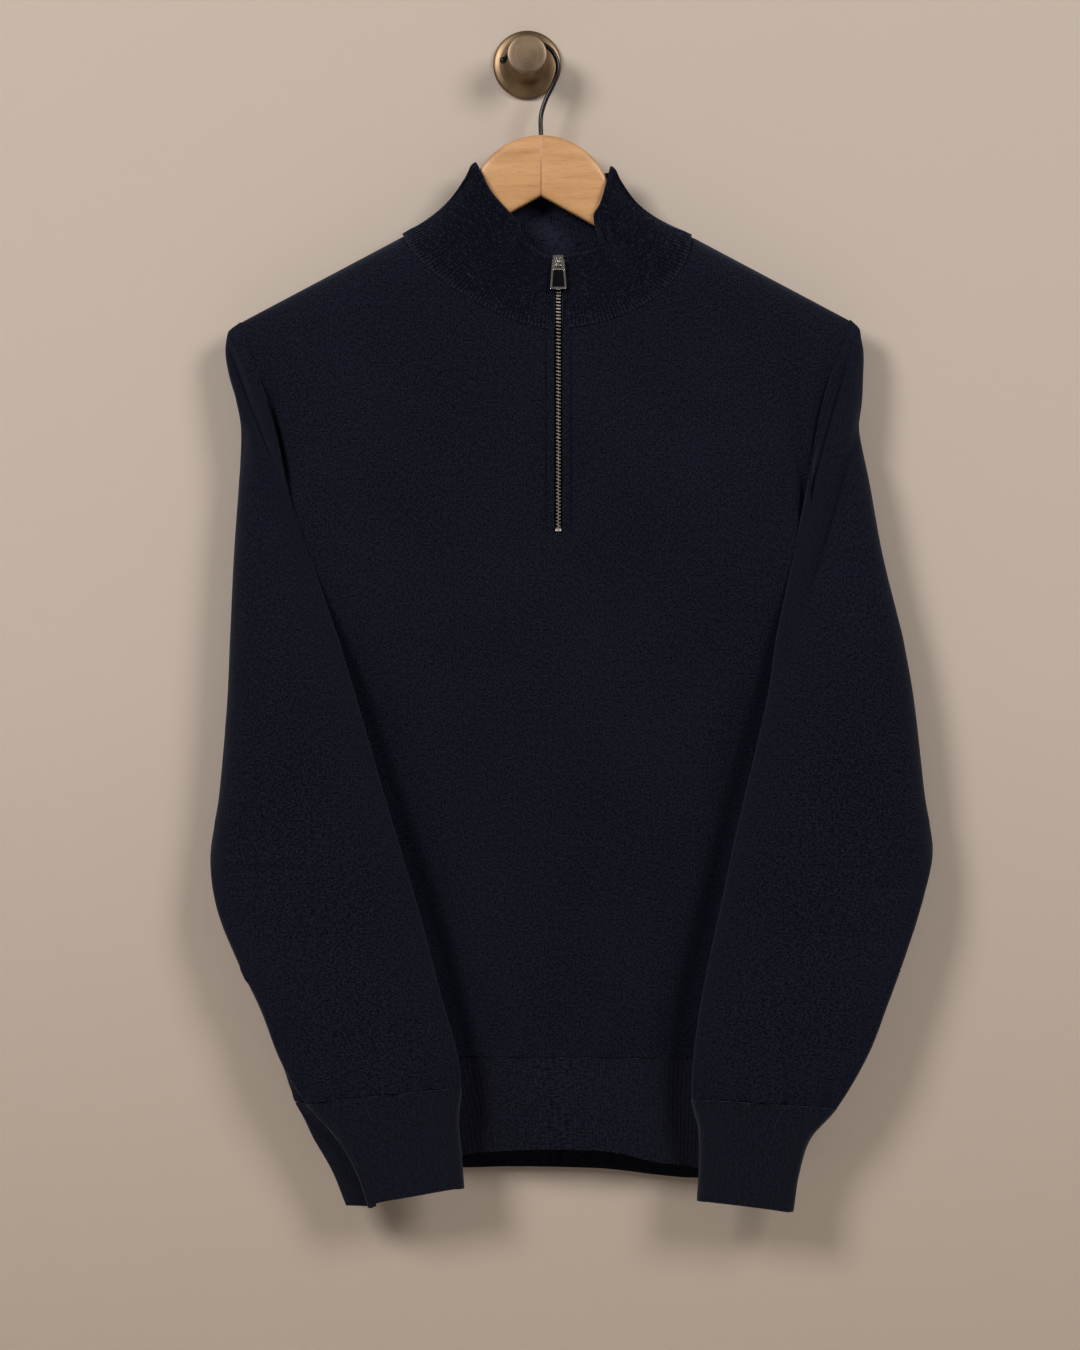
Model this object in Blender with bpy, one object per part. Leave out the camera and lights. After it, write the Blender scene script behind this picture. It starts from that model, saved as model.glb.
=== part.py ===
"""Quarter zip sweater on a wooden hanger, hung by its hook on a brass wall peg.

+X runs along the wall, +Z up, and -Y out of the wall. The origin is the centre of the peg's
flat back face, so the wall is the plane y = 0. Sizes are in millimetres and become metres when
a mesh is made. "Off" is a distance off the wall, so y = -off. Left and right are as seen from
in front of the sweater.
"""
import math
from collections import namedtuple

import bpy
import numpy as np
from mathutils import Matrix, Vector

MM = 0.001

# Walls and gaps
KNIT_WALL = 1.6            # single jersey of the panels and sleeves
RIB_WALL = 2.0             # rib of the hem and the cuffs
COLLAR_WALL = 2.4          # doubled rib of the collar
CUFF_GAP = 0.9
SIDE_SEAM_GAP = 1.5        # between the middles of the front's and the back's walls
HEM_GAP = 0.7
JOINT = 0.6                # gap between the four walls that make up each sleeve
LAP = 3.4                  # middle of one wall to the middle of the wall sewn on top of it
BACK_LAP = 4.6
COLLAR_LAP = 4.0
CLOTH_CLEARANCE = 3.9      # middle of the body's wall to the middle of a sleeve's wall over it

# Shoulders and neck
MIDDLE = 13.0              # where the body's middle hangs, along the wall
NECK_MIDDLE = 14.5
NECK_HALF = 103.5          # half the width of the neck seam
NECK_POINT_HEIGHT = -129.8  # where the neck seam crosses the shoulder line
FRONT_NECK_DROP = 69.0
BACK_NECK_DROP = 21.0
NECK_COLUMN_LEFT = -0.317   # the panels' columns that end at the neck points
NECK_COLUMN_RIGHT = 0.293
NECK_TUCK = 1.5            # how far the panels run on under the collar
NECK_ROUND_LEFT = 1.4      # powers of the front neck curve, left and right of the zip
NECK_ROUND_RIGHT = 2.0
SHOULDER_SLOPE = 0.53
SHOULDER_ROLL = 32.0       # how far down the cloth bends over the hanger's arm
SECTION_POWER = 2.6        # squareness of the body's section seen from above

# Body, a row for each height: side edges, middle off the wall, and depth forward and back
BodyRow = namedtuple("BodyRow", "height left right middle front back")
BODY = [
    BodyRow(-60, -212, 238, 27, 24, 15),
    BodyRow(-200, -212, 238, 27, 24, 15),
    BodyRow(-300, -205, 233, 27, 24, 15),
    BodyRow(-400, -199, 232, 26, 23, 15),
    BodyRow(-466, -199, 234, 25, 21.5, 14.5),
    BodyRow(-535, -196, 232, 24, 20, 14.5),
    BodyRow(-612, -188, 224, 23, 18.5, 14),
    BodyRow(-685, -176, 212, 22, 17.5, 14),
    BodyRow(-733, -163, 202, 21, 17, 13.5),
    BodyRow(-775, -147, 195, 20.5, 15.5, 13),
    BodyRow(-820, -136, 190, 20, 14.5, 13),
]

# Armhole seam, a row for each height: its place on the front and on the back
ArmholeRow = namedtuple("ArmholeRow", "height front_left back_left front_right back_right")
ARMHOLE = [
    ArmholeRow(-191, -208, -208, 234, 234),
    ArmholeRow(-223, -196, -202, 222, 228),
    ArmholeRow(-250, -188, -197, 214, 223),
    ArmholeRow(-280, -180, -192, 208, 219),
    ArmholeRow(-310, -176, -189, 204, 217),
    ArmholeRow(-340, -177, -190, 206, 219),
    ArmholeRow(-368, -186, -194, 216, 224),
    ArmholeRow(-392, -199, -199, 232, 232),
]
SHOULDER_POINT_HEIGHT = -192.0
UNDERARM_HEIGHT = -392.0
FRONT_FOLD_HEIGHT = -307.0   # where the sleeve's front fold starts on the armhole seam
BACK_FOLD_HEIGHT = -335.0

# Hem rib
HEM_SEAM_FRONT = -724.0
HEM_SEAM_SIDE = -733.0
HEM_SEAM_BACK = -742.0
HemRow = namedtuple("HemRow", "across front back")
HEM_EDGE = [
    HemRow(-140, -803, -806),
    HemRow(-48, -795, -809),
    HemRow(-12, -792, -808),
    HemRow(47, -792, -809),
    HemRow(70, -794, -811),
    HemRow(92, -799, -814),
    HemRow(125, -802, -817),
    HemRow(192, -808, -814),
]

# Sleeves, a row for each section from the bicep to the cuff's edge: the height of its front fold,
# how much lower its outer edge is, both edges along the wall, how far off the wall the fold and
# the outer edge lie, how many degrees the section wraps round the body's side, the reach of its
# tail behind the body, the air between the two layers, and how far the back layer shows past
# the front one
SleeveRow = namedtuple("SleeveRow", "height tilt inner outer inner_off outer_off wrap tail loft lip")
SLEEVE_LEFT = [
    SleeveRow(-420, 0, -137, -215, 53, 46, 172, 26, 9, 0),
    SleeveRow(-466, 0, -123, -217, 55, 46, 160, 14, 10, 0),
    SleeveRow(-535, 0, -103, -223, 56, 45, 105, 5, 11, 0),
    SleeveRow(-578, 0, -90, -229, 57, 44, 60, 2, 12, 0),
    SleeveRow(-612, 3, -80, -224, 57, 43, 25, 0, 13, 0),
    SleeveRow(-645, 6, -71, -210, 57, 43, 0, 0, 13, 0),
    SleeveRow(-680, 9, -62, -193, 57, 45, 0, 0, 13, 1),
    SleeveRow(-715, 11, -52, -182, 56, 47, 0, 0, 13, 4),
    SleeveRow(-744, 12, -48, -172, 54, 48, 0, 0, 12, 11),
    SleeveRow(-768, 13, -50, -159, 53, 48, 0, 0, 12, 20),
    SleeveRow(-792, 13.5, -48, -145, 52, 48, 0, 0, 12, 20),
    SleeveRow(-817, 14, -46, -135, 52, 48, 0, 0, 12, 19),
]
SLEEVE_RIGHT = [
    SleeveRow(-420, 0, 180, 272, 53, 46, 172, 26, 9, 0),
    SleeveRow(-466, 0, 173, 280, 55, 46, 160, 14, 10, 0),
    SleeveRow(-535, 0, 157, 288, 56, 45, 105, 5, 11, 0),
    SleeveRow(-574, 0, 148, 293.5, 57, 44, 60, 2, 12, 0),
    SleeveRow(-606, 2, 141.5, 286, 57, 43, 25, 0, 13, 0),
    SleeveRow(-645, 4, 133, 273, 57, 43, 0, 0, 13, 0),
    SleeveRow(-680, 5, 126, 261, 57, 45, 0, 0, 13, 1),
    SleeveRow(-715, 6, 121, 248, 56, 47, 0, 0, 13, 2),
    SleeveRow(-752, 7, 119, 228, 54, 48, 0, 0, 12, 4),
    SleeveRow(-775, 7, 124, 209, 53, 48, 0, 0, 12, 5),
    SleeveRow(-800, 8, 124.5, 200, 52, 48, 0, 0, 12, 4),
    SleeveRow(-826, 8, 123, 196, 52, 48, 0, 0, 12, 4),
]
WRAP_RADIUS = 18.0

# Where a sleeve section's points lie, as shares of its parts: front fold to outer edge, round the
# edge, on to the body's side, and along the inner layer back to the front fold
FRONT_SHARES = np.array([0, 0.04, 0.12, 0.23, 0.36, 0.5, 0.64, 0.77, 0.88, 0.96])
EDGE_SHARES = np.array([0, 0.25, 0.5, 0.75])
TAIL_SHARES = np.array([0, 0.25, 0.5, 0.75])
INNER_SHARES = np.array([0, 0.04, 0.11, 0.22, 0.4, 0.6, 0.82])
BICEP_HEIGHT = -420.0
CUFF_SEAM_LEFT = -744.0
CUFF_SEAM_RIGHT = -752.0
CUFF_EDGE_LEFT = -817.0
CUFF_EDGE_RIGHT = -826.0
BACK_CLEARANCE = 5.0        # the cloth's least distance off the wall

# Sleeve head: how far the outer edge stands past the line from shoulder to bicep
HeadRow = namedtuple("HeadRow", "height left right")
SLEEVE_HEAD = [
    HeadRow(-190, 1, 1),
    HeadRow(-203, 6, 4),
    HeadRow(-214, 9, 4),
    HeadRow(-231, 6, 2),
    HeadRow(-250, 0, -2),
    HeadRow(-270, -4, -7),
    HeadRow(-310, -3, -6),
    HeadRow(-361, -1, -5),
    HeadRow(-420, 0, 0),
]

# Deep groove from the sleeve's outer edge down to its front fold: start and end, along the wall
# and up, with its depth and the ridge beside it
Groove = namedtuple("Groove", "start_across start_height end_across end_height depth ridge width")
GROOVE_LEFT = Groove(-217, -208, -179, -303, 4.0, 3.5, 7.0)
GROOVE_RIGHT = Groove(243, -262, 190, -428, 4.5, 3.0, 7.0)

# Top edge of the collar, a row for each place round it, from the zip over the left side, the
# back and the right side to the zip again
CollarRow = namedtuple("CollarRow", "across height off")
COLLAR_EDGE = [
    CollarRow(19.3, -146.5, 37),
    CollarRow(8, -140, 38.5),
    CollarRow(-1, -131, 38.5),
    CollarRow(-7, -117, 38.5),
    CollarRow(-21, -100, 38),
    CollarRow(-31, -87, 36.5),
    CollarRow(-37, -76, 31),
    CollarRow(-36, -79, 21),
    CollarRow(-16, -81, 13.5),
    CollarRow(12, -81, 12.5),
    CollarRow(40, -82, 13.5),
    CollarRow(59, -82, 21),
    CollarRow(60, -79, 31),
    CollarRow(56, -89, 36.5),
    CollarRow(52, -102, 38),
    CollarRow(47, -115, 38.5),
    CollarRow(51, -130, 40),
    CollarRow(45, -140, 38.6),
    CollarRow(25.7, -146, 37),
]
COLLAR_SIDE_SAG = 9.0       # how far the collar's sides curve in below a straight line
COLLAR_FRONT_SWELL = 4.0

# Zip
ZIP_ACROSS = 22.5
ZIP_FOOT = -346.0
SLIT_HALF = 2.8
CHAIN_HALF = 2.3
CHAIN_WALL = 1.8
TAPE_HALF = 12.0
TAPE_WALL = 0.8
TAPE_GAP = 0.9
SLIDER_LENGTH = 9.0
SLIDER_HALF = 4.0
SLIDER_WALL = 2.6
SLIDER_LIFT = 3.3           # the slider's middle, off the collar's middle
BRIDGE_HALF = 1.2
BRIDGE_LEG = 1.2
BRIDGE_GAP = 2.4
PULL_TOP_HALF = 4.4
PULL_FOOT_HALF = 5.9
PULL_LENGTH = 23.5
PULL_WALL = 1.4
PULL_BAR = 1.4
PULL_WINDOW_HALF = 2.3
PULL_WINDOW_LENGTH = 5.6

# Hanger
CREST_ACROSS = 10.0
CREST_HEIGHT = -56.0
CREST_RADIUS = 52.0
CREST_REACH = 49.0          # how far the round crest runs to each side
ARM_JOIN = 70.0             # where the crest has run out into the straight arm
ARM_JOIN_HEIGHT = -121.0
ARM_TIP = 208.0             # from the crest to the end of an arm
ARM_UNDERSIDE = -100.0
ARM_UNDERSIDE_SLOPE = 0.56
ARM_THICK_MIDDLE = 12.0
ARM_THICK_TIP = 9.5
ARM_OFF = 27.0
ARM_BOW = 2.0               # how far the tips curve forward
HOOK_WIRE = 3.3
HOOK_BALL = 5.2
HookRow = namedtuple("HookRow", "across height")
HOOK_PATH = [
    HookRow(10, -55.3),
    HookRow(10, -42),
    HookRow(13.5, -30),
    HookRow(19.5, -17.5),
    HookRow(22.3, -6),
    HookRow(19.5, 3.5),
    HookRow(13, 9.6),
    HookRow(4, 11.9),
    HookRow(-6, 9.8),
    HookRow(-12.6, 3.6),
    HookRow(-19.5, -3),
]

# Wall peg: turned profiles, radius and distance off the wall
PegRow = namedtuple("PegRow", "radius off")
PEG_BASE = [
    PegRow(24.2, 0),
    PegRow(25.0, 0.8),
    PegRow(25.0, 2.6),
    PegRow(24.0, 3.8),
    PegRow(20.0, 5.4),
    PegRow(15.5, 8.6),
    PegRow(12.0, 13.0),
    PegRow(10.2, 17.0),
]
PEG_KNOB = [
    PegRow(9.4, 17.3),
    PegRow(9.2, 30.0),
    PegRow(9.8, 35.0),
    PegRow(12.2, 39.5),
    PegRow(14.0, 42.0),
    PegRow(14.0, 45.0),
    PegRow(13.2, 46.0),
    PegRow(7.0, 46.6),
]


def clear_scene():
    for item in list(bpy.data.objects):
        bpy.data.objects.remove(item, do_unlink=True)


def material(name, colour, roughness, metallic=0.0):
    made = bpy.data.materials.new(name)
    made.use_nodes = True
    shader = made.node_tree.nodes["Principled BSDF"]
    shader.inputs["Base Color"].default_value = (*colour, 1.0)
    shader.inputs["Roughness"].default_value = roughness
    shader.inputs["Metallic"].default_value = metallic
    return made


def read(table, column, at, along="height"):
    """One named column of a table, read on a smooth curve through its rows."""
    rows = sorted(table, key=lambda row: getattr(row, along))
    places = np.array([getattr(row, along) for row in rows], float)
    values = np.array([getattr(row, column) for row in rows], float)
    slopes = np.empty_like(values)
    steps = np.diff(values) / np.diff(places)
    slopes[0] = steps[0]
    slopes[-1] = steps[-1]
    slopes[1:-1] = (values[2:] - values[:-2]) / (places[2:] - places[:-2])
    at = np.clip(np.asarray(at, float), places[0], places[-1])
    span = np.clip(np.searchsorted(places, at) - 1, 0, len(places) - 2)
    width = places[span + 1] - places[span]
    t = (at - places[span]) / width
    return ((1 + 2 * t) * (1 - t) ** 2 * values[span] + t * (1 - t) ** 2 * width * slopes[span]
            + t * t * (3 - 2 * t) * values[span + 1] + t * t * (t - 1) * width * slopes[span + 1])


def smooth_path(points, count):
    """Points evenly spaced on a smooth curve through the given ones."""
    points = np.asarray(points, float)
    ahead = np.vstack([points[1:], 2 * points[-1] - points[-2]])
    behind = np.vstack([2 * points[0] - points[1], points[:-1]])
    slopes = (ahead - behind) / 2
    fine = []
    for i in range(len(points) - 1):
        for t in np.linspace(0, 1, 24, endpoint=False):
            fine.append((1 + 2 * t) * (1 - t) ** 2 * points[i] + t * (1 - t) ** 2 * slopes[i]
                        + t * t * (3 - 2 * t) * points[i + 1] + t * t * (t - 1) * slopes[i + 1])
    fine.append(points[-1])
    return even(np.array(fine), count)


def even(points, count):
    """The same line with points at even distances along it."""
    lengths = np.r_[0, np.cumsum(np.linalg.norm(np.diff(points, axis=0), axis=1))]
    wanted = np.linspace(0, lengths[-1], count)
    return np.stack([np.interp(wanted, lengths, points[:, k]) for k in range(points.shape[1])], 1)


def spot(across, height, off):
    """A place in the part's frame, in millimetres."""
    return np.stack(np.broadcast_arrays(across, -np.asarray(off, float), height), -1).astype(float)


# ---------------------------------------------------------------- body surfaces

def shoulder_height(across):
    return NECK_POINT_HEIGHT - SHOULDER_SLOPE * (np.abs(across - NECK_MIDDLE) - NECK_HALF)


def body_off(across, height, forward, grow=0.0):
    """Distance off the wall of the body's front or back surface, or of one that much outside it."""
    left = read(BODY, "left", height) - grow
    right = read(BODY, "right", height) + grow
    u = np.clip(np.abs(2 * (across - left) / (right - left) - 1), 0, 1)
    roundness = (1 - u ** SECTION_POWER) ** (1 / SECTION_POWER)
    below = np.clip((shoulder_height(across) + grow - height) / (SHOULDER_ROLL + grow), 0, 1)
    roll = np.sqrt(1 - (1 - below) ** 2)
    depth = read(BODY, "front" if forward else "back", height) + grow
    return read(BODY, "middle", height) + (1 if forward else -1) * depth * roundness * roll


def front_off(across, height):
    return body_off(across, height, True)


def back_off(across, height):
    return body_off(across, height, False)


def front_neck(across):
    """Height of the front panel's top edge."""
    u = (across - NECK_MIDDLE) / NECK_HALF
    power = np.where(u < 0, NECK_ROUND_LEFT, NECK_ROUND_RIGHT)
    inside = np.clip(1 - np.abs(u) ** power, 0, 1) ** (1 / power)
    neck = NECK_POINT_HEIGHT - FRONT_NECK_DROP * inside + NECK_TUCK
    return np.minimum(shoulder_height(across), np.where(np.abs(u) < 1, neck, shoulder_height(across)))


def back_neck(across):
    u = np.abs(across - NECK_MIDDLE) / NECK_HALF
    inside = np.sqrt(np.clip(1 - u ** 2, 0, 1))
    neck = NECK_POINT_HEIGHT - BACK_NECK_DROP * inside + NECK_TUCK
    return np.minimum(shoulder_height(across), np.where(u < 1, neck, shoulder_height(across)))


def lifted(across, height, surface, amount):
    """A place moved straight out from the front or the back surface of the body."""
    step = 0.5
    tilt = (surface(across + step, height) - surface(across - step, height)) / (2 * step)
    lean = (surface(across, height + step) - surface(across, height - step)) / (2 * step)
    normal = np.array([-tilt, 1.0, -lean]) * (1 if surface is front_off else -1)
    normal *= amount / np.linalg.norm(normal)
    return spot(across + normal[0], height + normal[2], surface(across, height) + normal[1])


def hem_seam(across, height, seam):
    left = read(BODY, "left", height)
    right = read(BODY, "right", height)
    u = np.clip(2 * (across - left) / (right - left) - 1, -1, 1)
    return HEM_SEAM_SIDE + (seam - HEM_SEAM_SIDE) * (1 - u * u)


def panel_grid(columns, rows, top, seam, off, armhole_left, armhole_right, side_gap):
    """Points of a body panel: rows run up from the hem seam, columns from left to right."""
    def across_at(column, height):
        table, names = (BODY, ("left", "right"))
        if height > UNDERARM_HEIGHT:
            table, names = ARMHOLE, (armhole_left, armhole_right)
        left, right = (float(read(table, name, height)) for name in names)
        return column_across(column, left, right)

    grid = np.zeros((len(rows), len(columns), 3))
    for j, column in enumerate(columns):
        peak = float(top(across_at(column, SHOULDER_POINT_HEIGHT)))
        foot = float(hem_seam(across_at(column, HEM_SEAM_SIDE), HEM_SEAM_SIDE, seam))
        for i, row in enumerate(rows):
            height = foot + (peak - foot) * row
            across = across_at(column, min(height, SHOULDER_POINT_HEIGHT))
            grid[i, j] = spot(across, height, off(across, height) + side_gap)
    return grid


def column_across(column, left, right):
    """Columns from -1 to 1, closer together towards the side edges, straight beside the zip."""
    inner_left = ZIP_ACROSS - SLIT_HALF
    inner_right = ZIP_ACROSS + SLIT_HALF
    spread = 1 - np.cos((1 - abs(column)) * math.pi / 2)
    if column < 0:
        return left + (inner_left - left) * spread
    return right + (inner_right - right) * spread


# ---------------------------------------------------------------- sleeve surfaces

def spine(row, out):
    """Middle line of a flattened sleeve section: a leg in front, a bend round the side, a tail."""
    wrap = math.radians(row.wrap)
    reach = abs(row.outer - row.inner) - row.loft - WRAP_RADIUS * min(1.0, wrap)
    heading = math.atan2(row.outer_off - row.inner_off, reach)
    points = [np.array([0.0, 0.0])]
    steps = [(reach, 0.0)] + [(WRAP_RADIUS * wrap / 16, wrap / 16)] * 16 + [(row.tail, 0.0)]
    for step, turn in steps:
        heading -= turn
        points.append(points[-1] + step * np.array([math.cos(heading), math.sin(heading)]))
    line = even(np.array(points), 120)
    return np.stack([row.inner + out * (row.loft / 2 + line[:, 0]), row.inner_off + line[:, 1]], 1)


def section(table, height, out):
    """Closed sleeve section: from its front fold over the outer layer, round its outer edge, and
    back along the inner layer. Also the place on the inner layer nearest to the body's side."""
    values = {name: float(read(table, name, height)) for name in SleeveRow._fields[1:]}
    row = SleeveRow(height, **values)
    line = spine(row, out)
    along = np.gradient(line, axis=0)
    along /= np.linalg.norm(along, axis=1)[:, None]
    outward = out * np.stack([-along[:, 1], along[:, 0]], 1)
    half = row.loft / 2
    turns = np.linspace(0, math.pi, 14)[1:-1]
    end_cap = [line[-1] + half * (math.cos(a) * outward[-1] + math.sin(a) * along[-1]) for a in turns]
    fold_cap = [line[0] - half * (math.cos(a) * outward[0] + math.sin(a) * along[0]) for a in turns]
    loop = np.vstack([line + outward * half, end_cap, (line - outward * half)[::-1], fold_cap])
    reached = np.max(out * loop[:, 0])
    start = np.min(out * loop[:, 0])
    loop[:, 0] = row.inner + (out * loop[:, 0] - start) * (row.outer - row.inner) / (reached - start)
    cap_end = len(line) + len(turns)
    fold = int(np.argmin(out * loop[:, 0]))
    edge = int(np.argmax(out * loop[:cap_end, 0]))
    side = cap_end + 12 + int(np.argmax(out * loop[cap_end + 12:cap_end + len(line), 0]))

    share = np.linspace(0, 1, len(line))
    shares = np.r_[share, np.ones(len(turns)), share[::-1], np.zeros(len(turns))]
    front_layer = np.r_[np.ones(len(line)), 1 - np.clip(turns - 1.9, 0, 1) + 0.35 * np.sin(turns) ** 6,
                        np.zeros(len(line) + len(turns))]
    loop[:, 0] -= out * row.lip * front_layer * np.clip((shares - 0.6) / 0.4, 0, 1) ** 2
    ring = spot(loop[:, 0], height - row.tilt * shares, loop[:, 1])
    parts = [(np.vstack([ring[fold:], ring[:edge + 1]]), FRONT_SHARES), (ring[edge:cap_end + 1], EDGE_SHARES),
             (ring[cap_end:side + 1], TAIL_SHARES), (ring[side:fold + 1], INNER_SHARES)]
    return np.vstack([spread(points, wanted) for points, wanted in parts])


def spread(points, shares):
    """Points at the given shares of a line's length."""
    lengths = np.r_[0, np.cumsum(np.linalg.norm(np.diff(points, axis=0), axis=1))]
    return np.stack([np.interp(shares * lengths[-1], lengths, points[:, k]) for k in range(3)], 1)


def armhole_loop(side):
    """The sleeve's top edge: the armhole seam, sewn on top of the body's panels."""
    peak = float(shoulder_height(read(ARMHOLE, "front_" + side, SHOULDER_POINT_HEIGHT)))
    parts = (("front", front_off, FRONT_FOLD_HEIGHT, peak, FRONT_SHARES),
             ("back", back_off, peak, BACK_FOLD_HEIGHT, EDGE_SHARES),
             ("back", back_off, BACK_FOLD_HEIGHT, UNDERARM_HEIGHT, TAIL_SHARES),
             ("front", front_off, UNDERARM_HEIGHT, FRONT_FOLD_HEIGHT, INNER_SHARES))
    loop = []
    for panel, surface, start, end, shares in parts:
        lap = LAP if panel == "front" else BACK_LAP
        for height in start + (end - start) * shares:
            loop.append(lifted(float(read(ARMHOLE, panel + "_" + side, height)), height, surface, lap))
    return np.array(loop)


def groove_shift(groove, across, height):
    """How far the cloth moves off the wall beside a groove: down into it, up on its far side."""
    start = np.array([groove.start_across, groove.start_height], float)
    end = np.array([groove.end_across, groove.end_height], float)
    run = end - start
    length = np.linalg.norm(run)
    run /= length
    side = np.array([-run[1], run[0]]) * (1 if groove.end_across > groove.start_across else -1)
    offset = np.stack([across, height], -1) - start
    along = offset @ run
    beside = offset @ side
    fade = np.clip((along + 12) / 20, 0, 1) * np.clip((length + 12 - along) / 40, 0, 1)
    valley = -groove.depth * np.exp(-(beside / groove.width) ** 2)
    ridge = groove.ridge * np.exp(-((beside + 1.7 * groove.width) / (1.3 * groove.width)) ** 2)
    return (valley + ridge) * fade


def clear_of_body(points):
    """Lifts cloth that lies over the body clear of its panels, and keeps it off the wall."""
    across = points[..., 0]
    height = points[..., 2]
    off = -points[..., 1]
    left = read(BODY, "left", height) - CLOTH_CLEARANCE
    right = read(BODY, "right", height) + CLOTH_CLEARANCE
    over = (across > left) & (across < right) & (height < shoulder_height(across) + CLOTH_CLEARANCE)
    front = over & (off > read(BODY, "middle", height))
    back = over & ~front
    off = np.where(front, np.maximum(off, body_off(across, height, True, CLOTH_CLEARANCE)), off)
    off = np.where(back, np.minimum(off, body_off(across, height, False, CLOTH_CLEARANCE)), off)
    return spot(across, height, np.maximum(off, BACK_CLEARANCE))


def sleeve_grid(side, table, groove, upper_steps, lower_heights):
    """Rings of a sleeve from the armhole seam down to the cuff seam."""
    out = -1 if side == "left" else 1
    seam = armhole_loop(side)
    bicep = section(table, BICEP_HEIGHT, out)
    in_front = np.arange(len(seam)) <= len(FRONT_SHARES)
    behind_edge = np.clip((np.arange(len(seam)) - len(FRONT_SHARES)) / len(EDGE_SHARES), 0, 2)
    from_edge = np.where(in_front, 1 - np.arange(len(seam)) / len(FRONT_SHARES), behind_edge)
    weight = np.exp(-(from_edge / 0.4) ** 2)
    rings = []
    for t in upper_steps:
        ring = seam + (bicep - seam) * t
        ring[:, 0] += out * read(SLEEVE_HEAD, side, ring[:, 2]) * weight * min(1.0, t * 12)
        ring[:, 1] -= groove_shift(groove, ring[:, 0], ring[:, 2]) * in_front * min(1.0, t * 5)
        rings.append(clear_of_body(ring) if t > 0 else ring)
    for height in lower_heights:
        rings.append(clear_of_body(section(table, height, out)))
    return np.array(rings)


# ---------------------------------------------------------------- collar surface

def neck_seam(count):
    """The neck seam from the zip over the left side and the back to the zip again."""
    turns = np.linspace(0, 2 * math.pi, 240)
    loop = []
    for turn in turns:
        sideways = -math.sin(turn)
        forward = math.cos(turn)
        power = 2.0
        if forward > 0:
            power = NECK_ROUND_LEFT if sideways < 0 else NECK_ROUND_RIGHT
        across = NECK_MIDDLE + NECK_HALF * math.copysign(abs(sideways) ** (2 / power), sideways)
        if forward > 0:
            height = NECK_POINT_HEIGHT - FRONT_NECK_DROP * forward ** (2 / power)
            loop.append(lifted(across, height, front_off, COLLAR_LAP))
        else:
            height = NECK_POINT_HEIGHT - BACK_NECK_DROP * abs(forward)
            loop.append(lifted(across, height, back_off, COLLAR_LAP))
    loop = np.array(loop)
    left = np.argmax(loop[:120, 0] < ZIP_ACROSS - SLIT_HALF)
    right = 120 + np.argmax(loop[120:, 0] > ZIP_ACROSS + SLIT_HALF)
    before_zip = [k for k in range(right, 240) if loop[k, 0] > ZIP_ACROSS + SLIT_HALF]
    kept = loop[left:before_zip[-1] + 1].copy()
    kept[0, 0] = ZIP_ACROSS - SLIT_HALF
    kept[-1, 0] = ZIP_ACROSS + SLIT_HALF
    return even(kept, count)


def collar_grid(count, steps):
    """Rows of the collar from the neck seam up to its top edge."""
    base = neck_seam(count)
    edge_points = [spot(row.across, row.height, row.off) for row in COLLAR_EDGE]
    edge = smooth_path(edge_points, count)
    edge[0, 0] = ZIP_ACROSS - SLIT_HALF
    edge[-1, 0] = ZIP_ACROSS + SLIT_HALF
    sideways = (base[:, 0] - NECK_MIDDLE) / NECK_HALF
    forward = np.clip((-base[:, 1] - 27) / 24, -1, 1)
    pull = (base + edge) / 2
    pull[:, 0] -= COLLAR_SIDE_SAG * 0.55 * np.sign(sideways) * sideways ** 2
    pull[:, 2] -= COLLAR_SIDE_SAG * sideways ** 2
    pull[:, 1] -= COLLAR_FRONT_SWELL * np.clip(forward, 0, 1) * (1 - sideways ** 2)
    return np.array([(1 - t) ** 2 * base + 2 * t * (1 - t) * pull + t * t * edge for t in steps])


# ---------------------------------------------------------------- meshes

def grid_normals(grid, wrap):
    if wrap:
        padded = np.concatenate([grid[:, -1:], grid, grid[:, :1]], axis=1)
        along = np.gradient(padded, axis=1)[:, 1:-1]
    else:
        along = np.gradient(grid, axis=1)
    up = np.gradient(grid, axis=0)
    normal = np.cross(along, up)
    return normal / np.maximum(np.linalg.norm(normal, axis=2), 1e-9)[..., None]


def wall_solid(name, grid, wall, skin, wrap=False, keep=None, normals=None):
    """A closed wall round a grid of points on its middle: two faces and a rim at every edge."""
    rows, columns = grid.shape[:2]
    if normals is None:
        normals = grid_normals(grid, wrap)
    layers = [grid + normals * wall / 2, grid - normals * wall / 2]
    vertices = np.concatenate([layer.reshape(-1, 3) for layer in layers])
    total = rows * columns
    faces = []
    edges = {}
    for i in range(rows - 1):
        for j in range(columns if wrap else columns - 1):
            if keep is not None and not keep(i, j):
                continue
            k = (j + 1) % columns
            quad = (i * columns + j, i * columns + k, (i + 1) * columns + k, (i + 1) * columns + j)
            faces.append(quad)
            faces.append(tuple(v + total for v in reversed(quad)))
            for a, b in zip(quad, quad[1:] + quad[:1]):
                if (b, a) in edges:
                    del edges[(b, a)]
                else:
                    edges[(a, b)] = True
    faces.extend((b, a, a + total, b + total) for a, b in edges)
    return mesh_object(name, vertices, faces, skin)


def signed_volume(vertices, faces):
    volume = 0.0
    for face in faces:
        for k in range(1, len(face) - 1):
            a, b, c = vertices[face[0]], vertices[face[k]], vertices[face[k + 1]]
            volume += np.dot(a, np.cross(b, c)) / 6
    return volume


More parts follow.
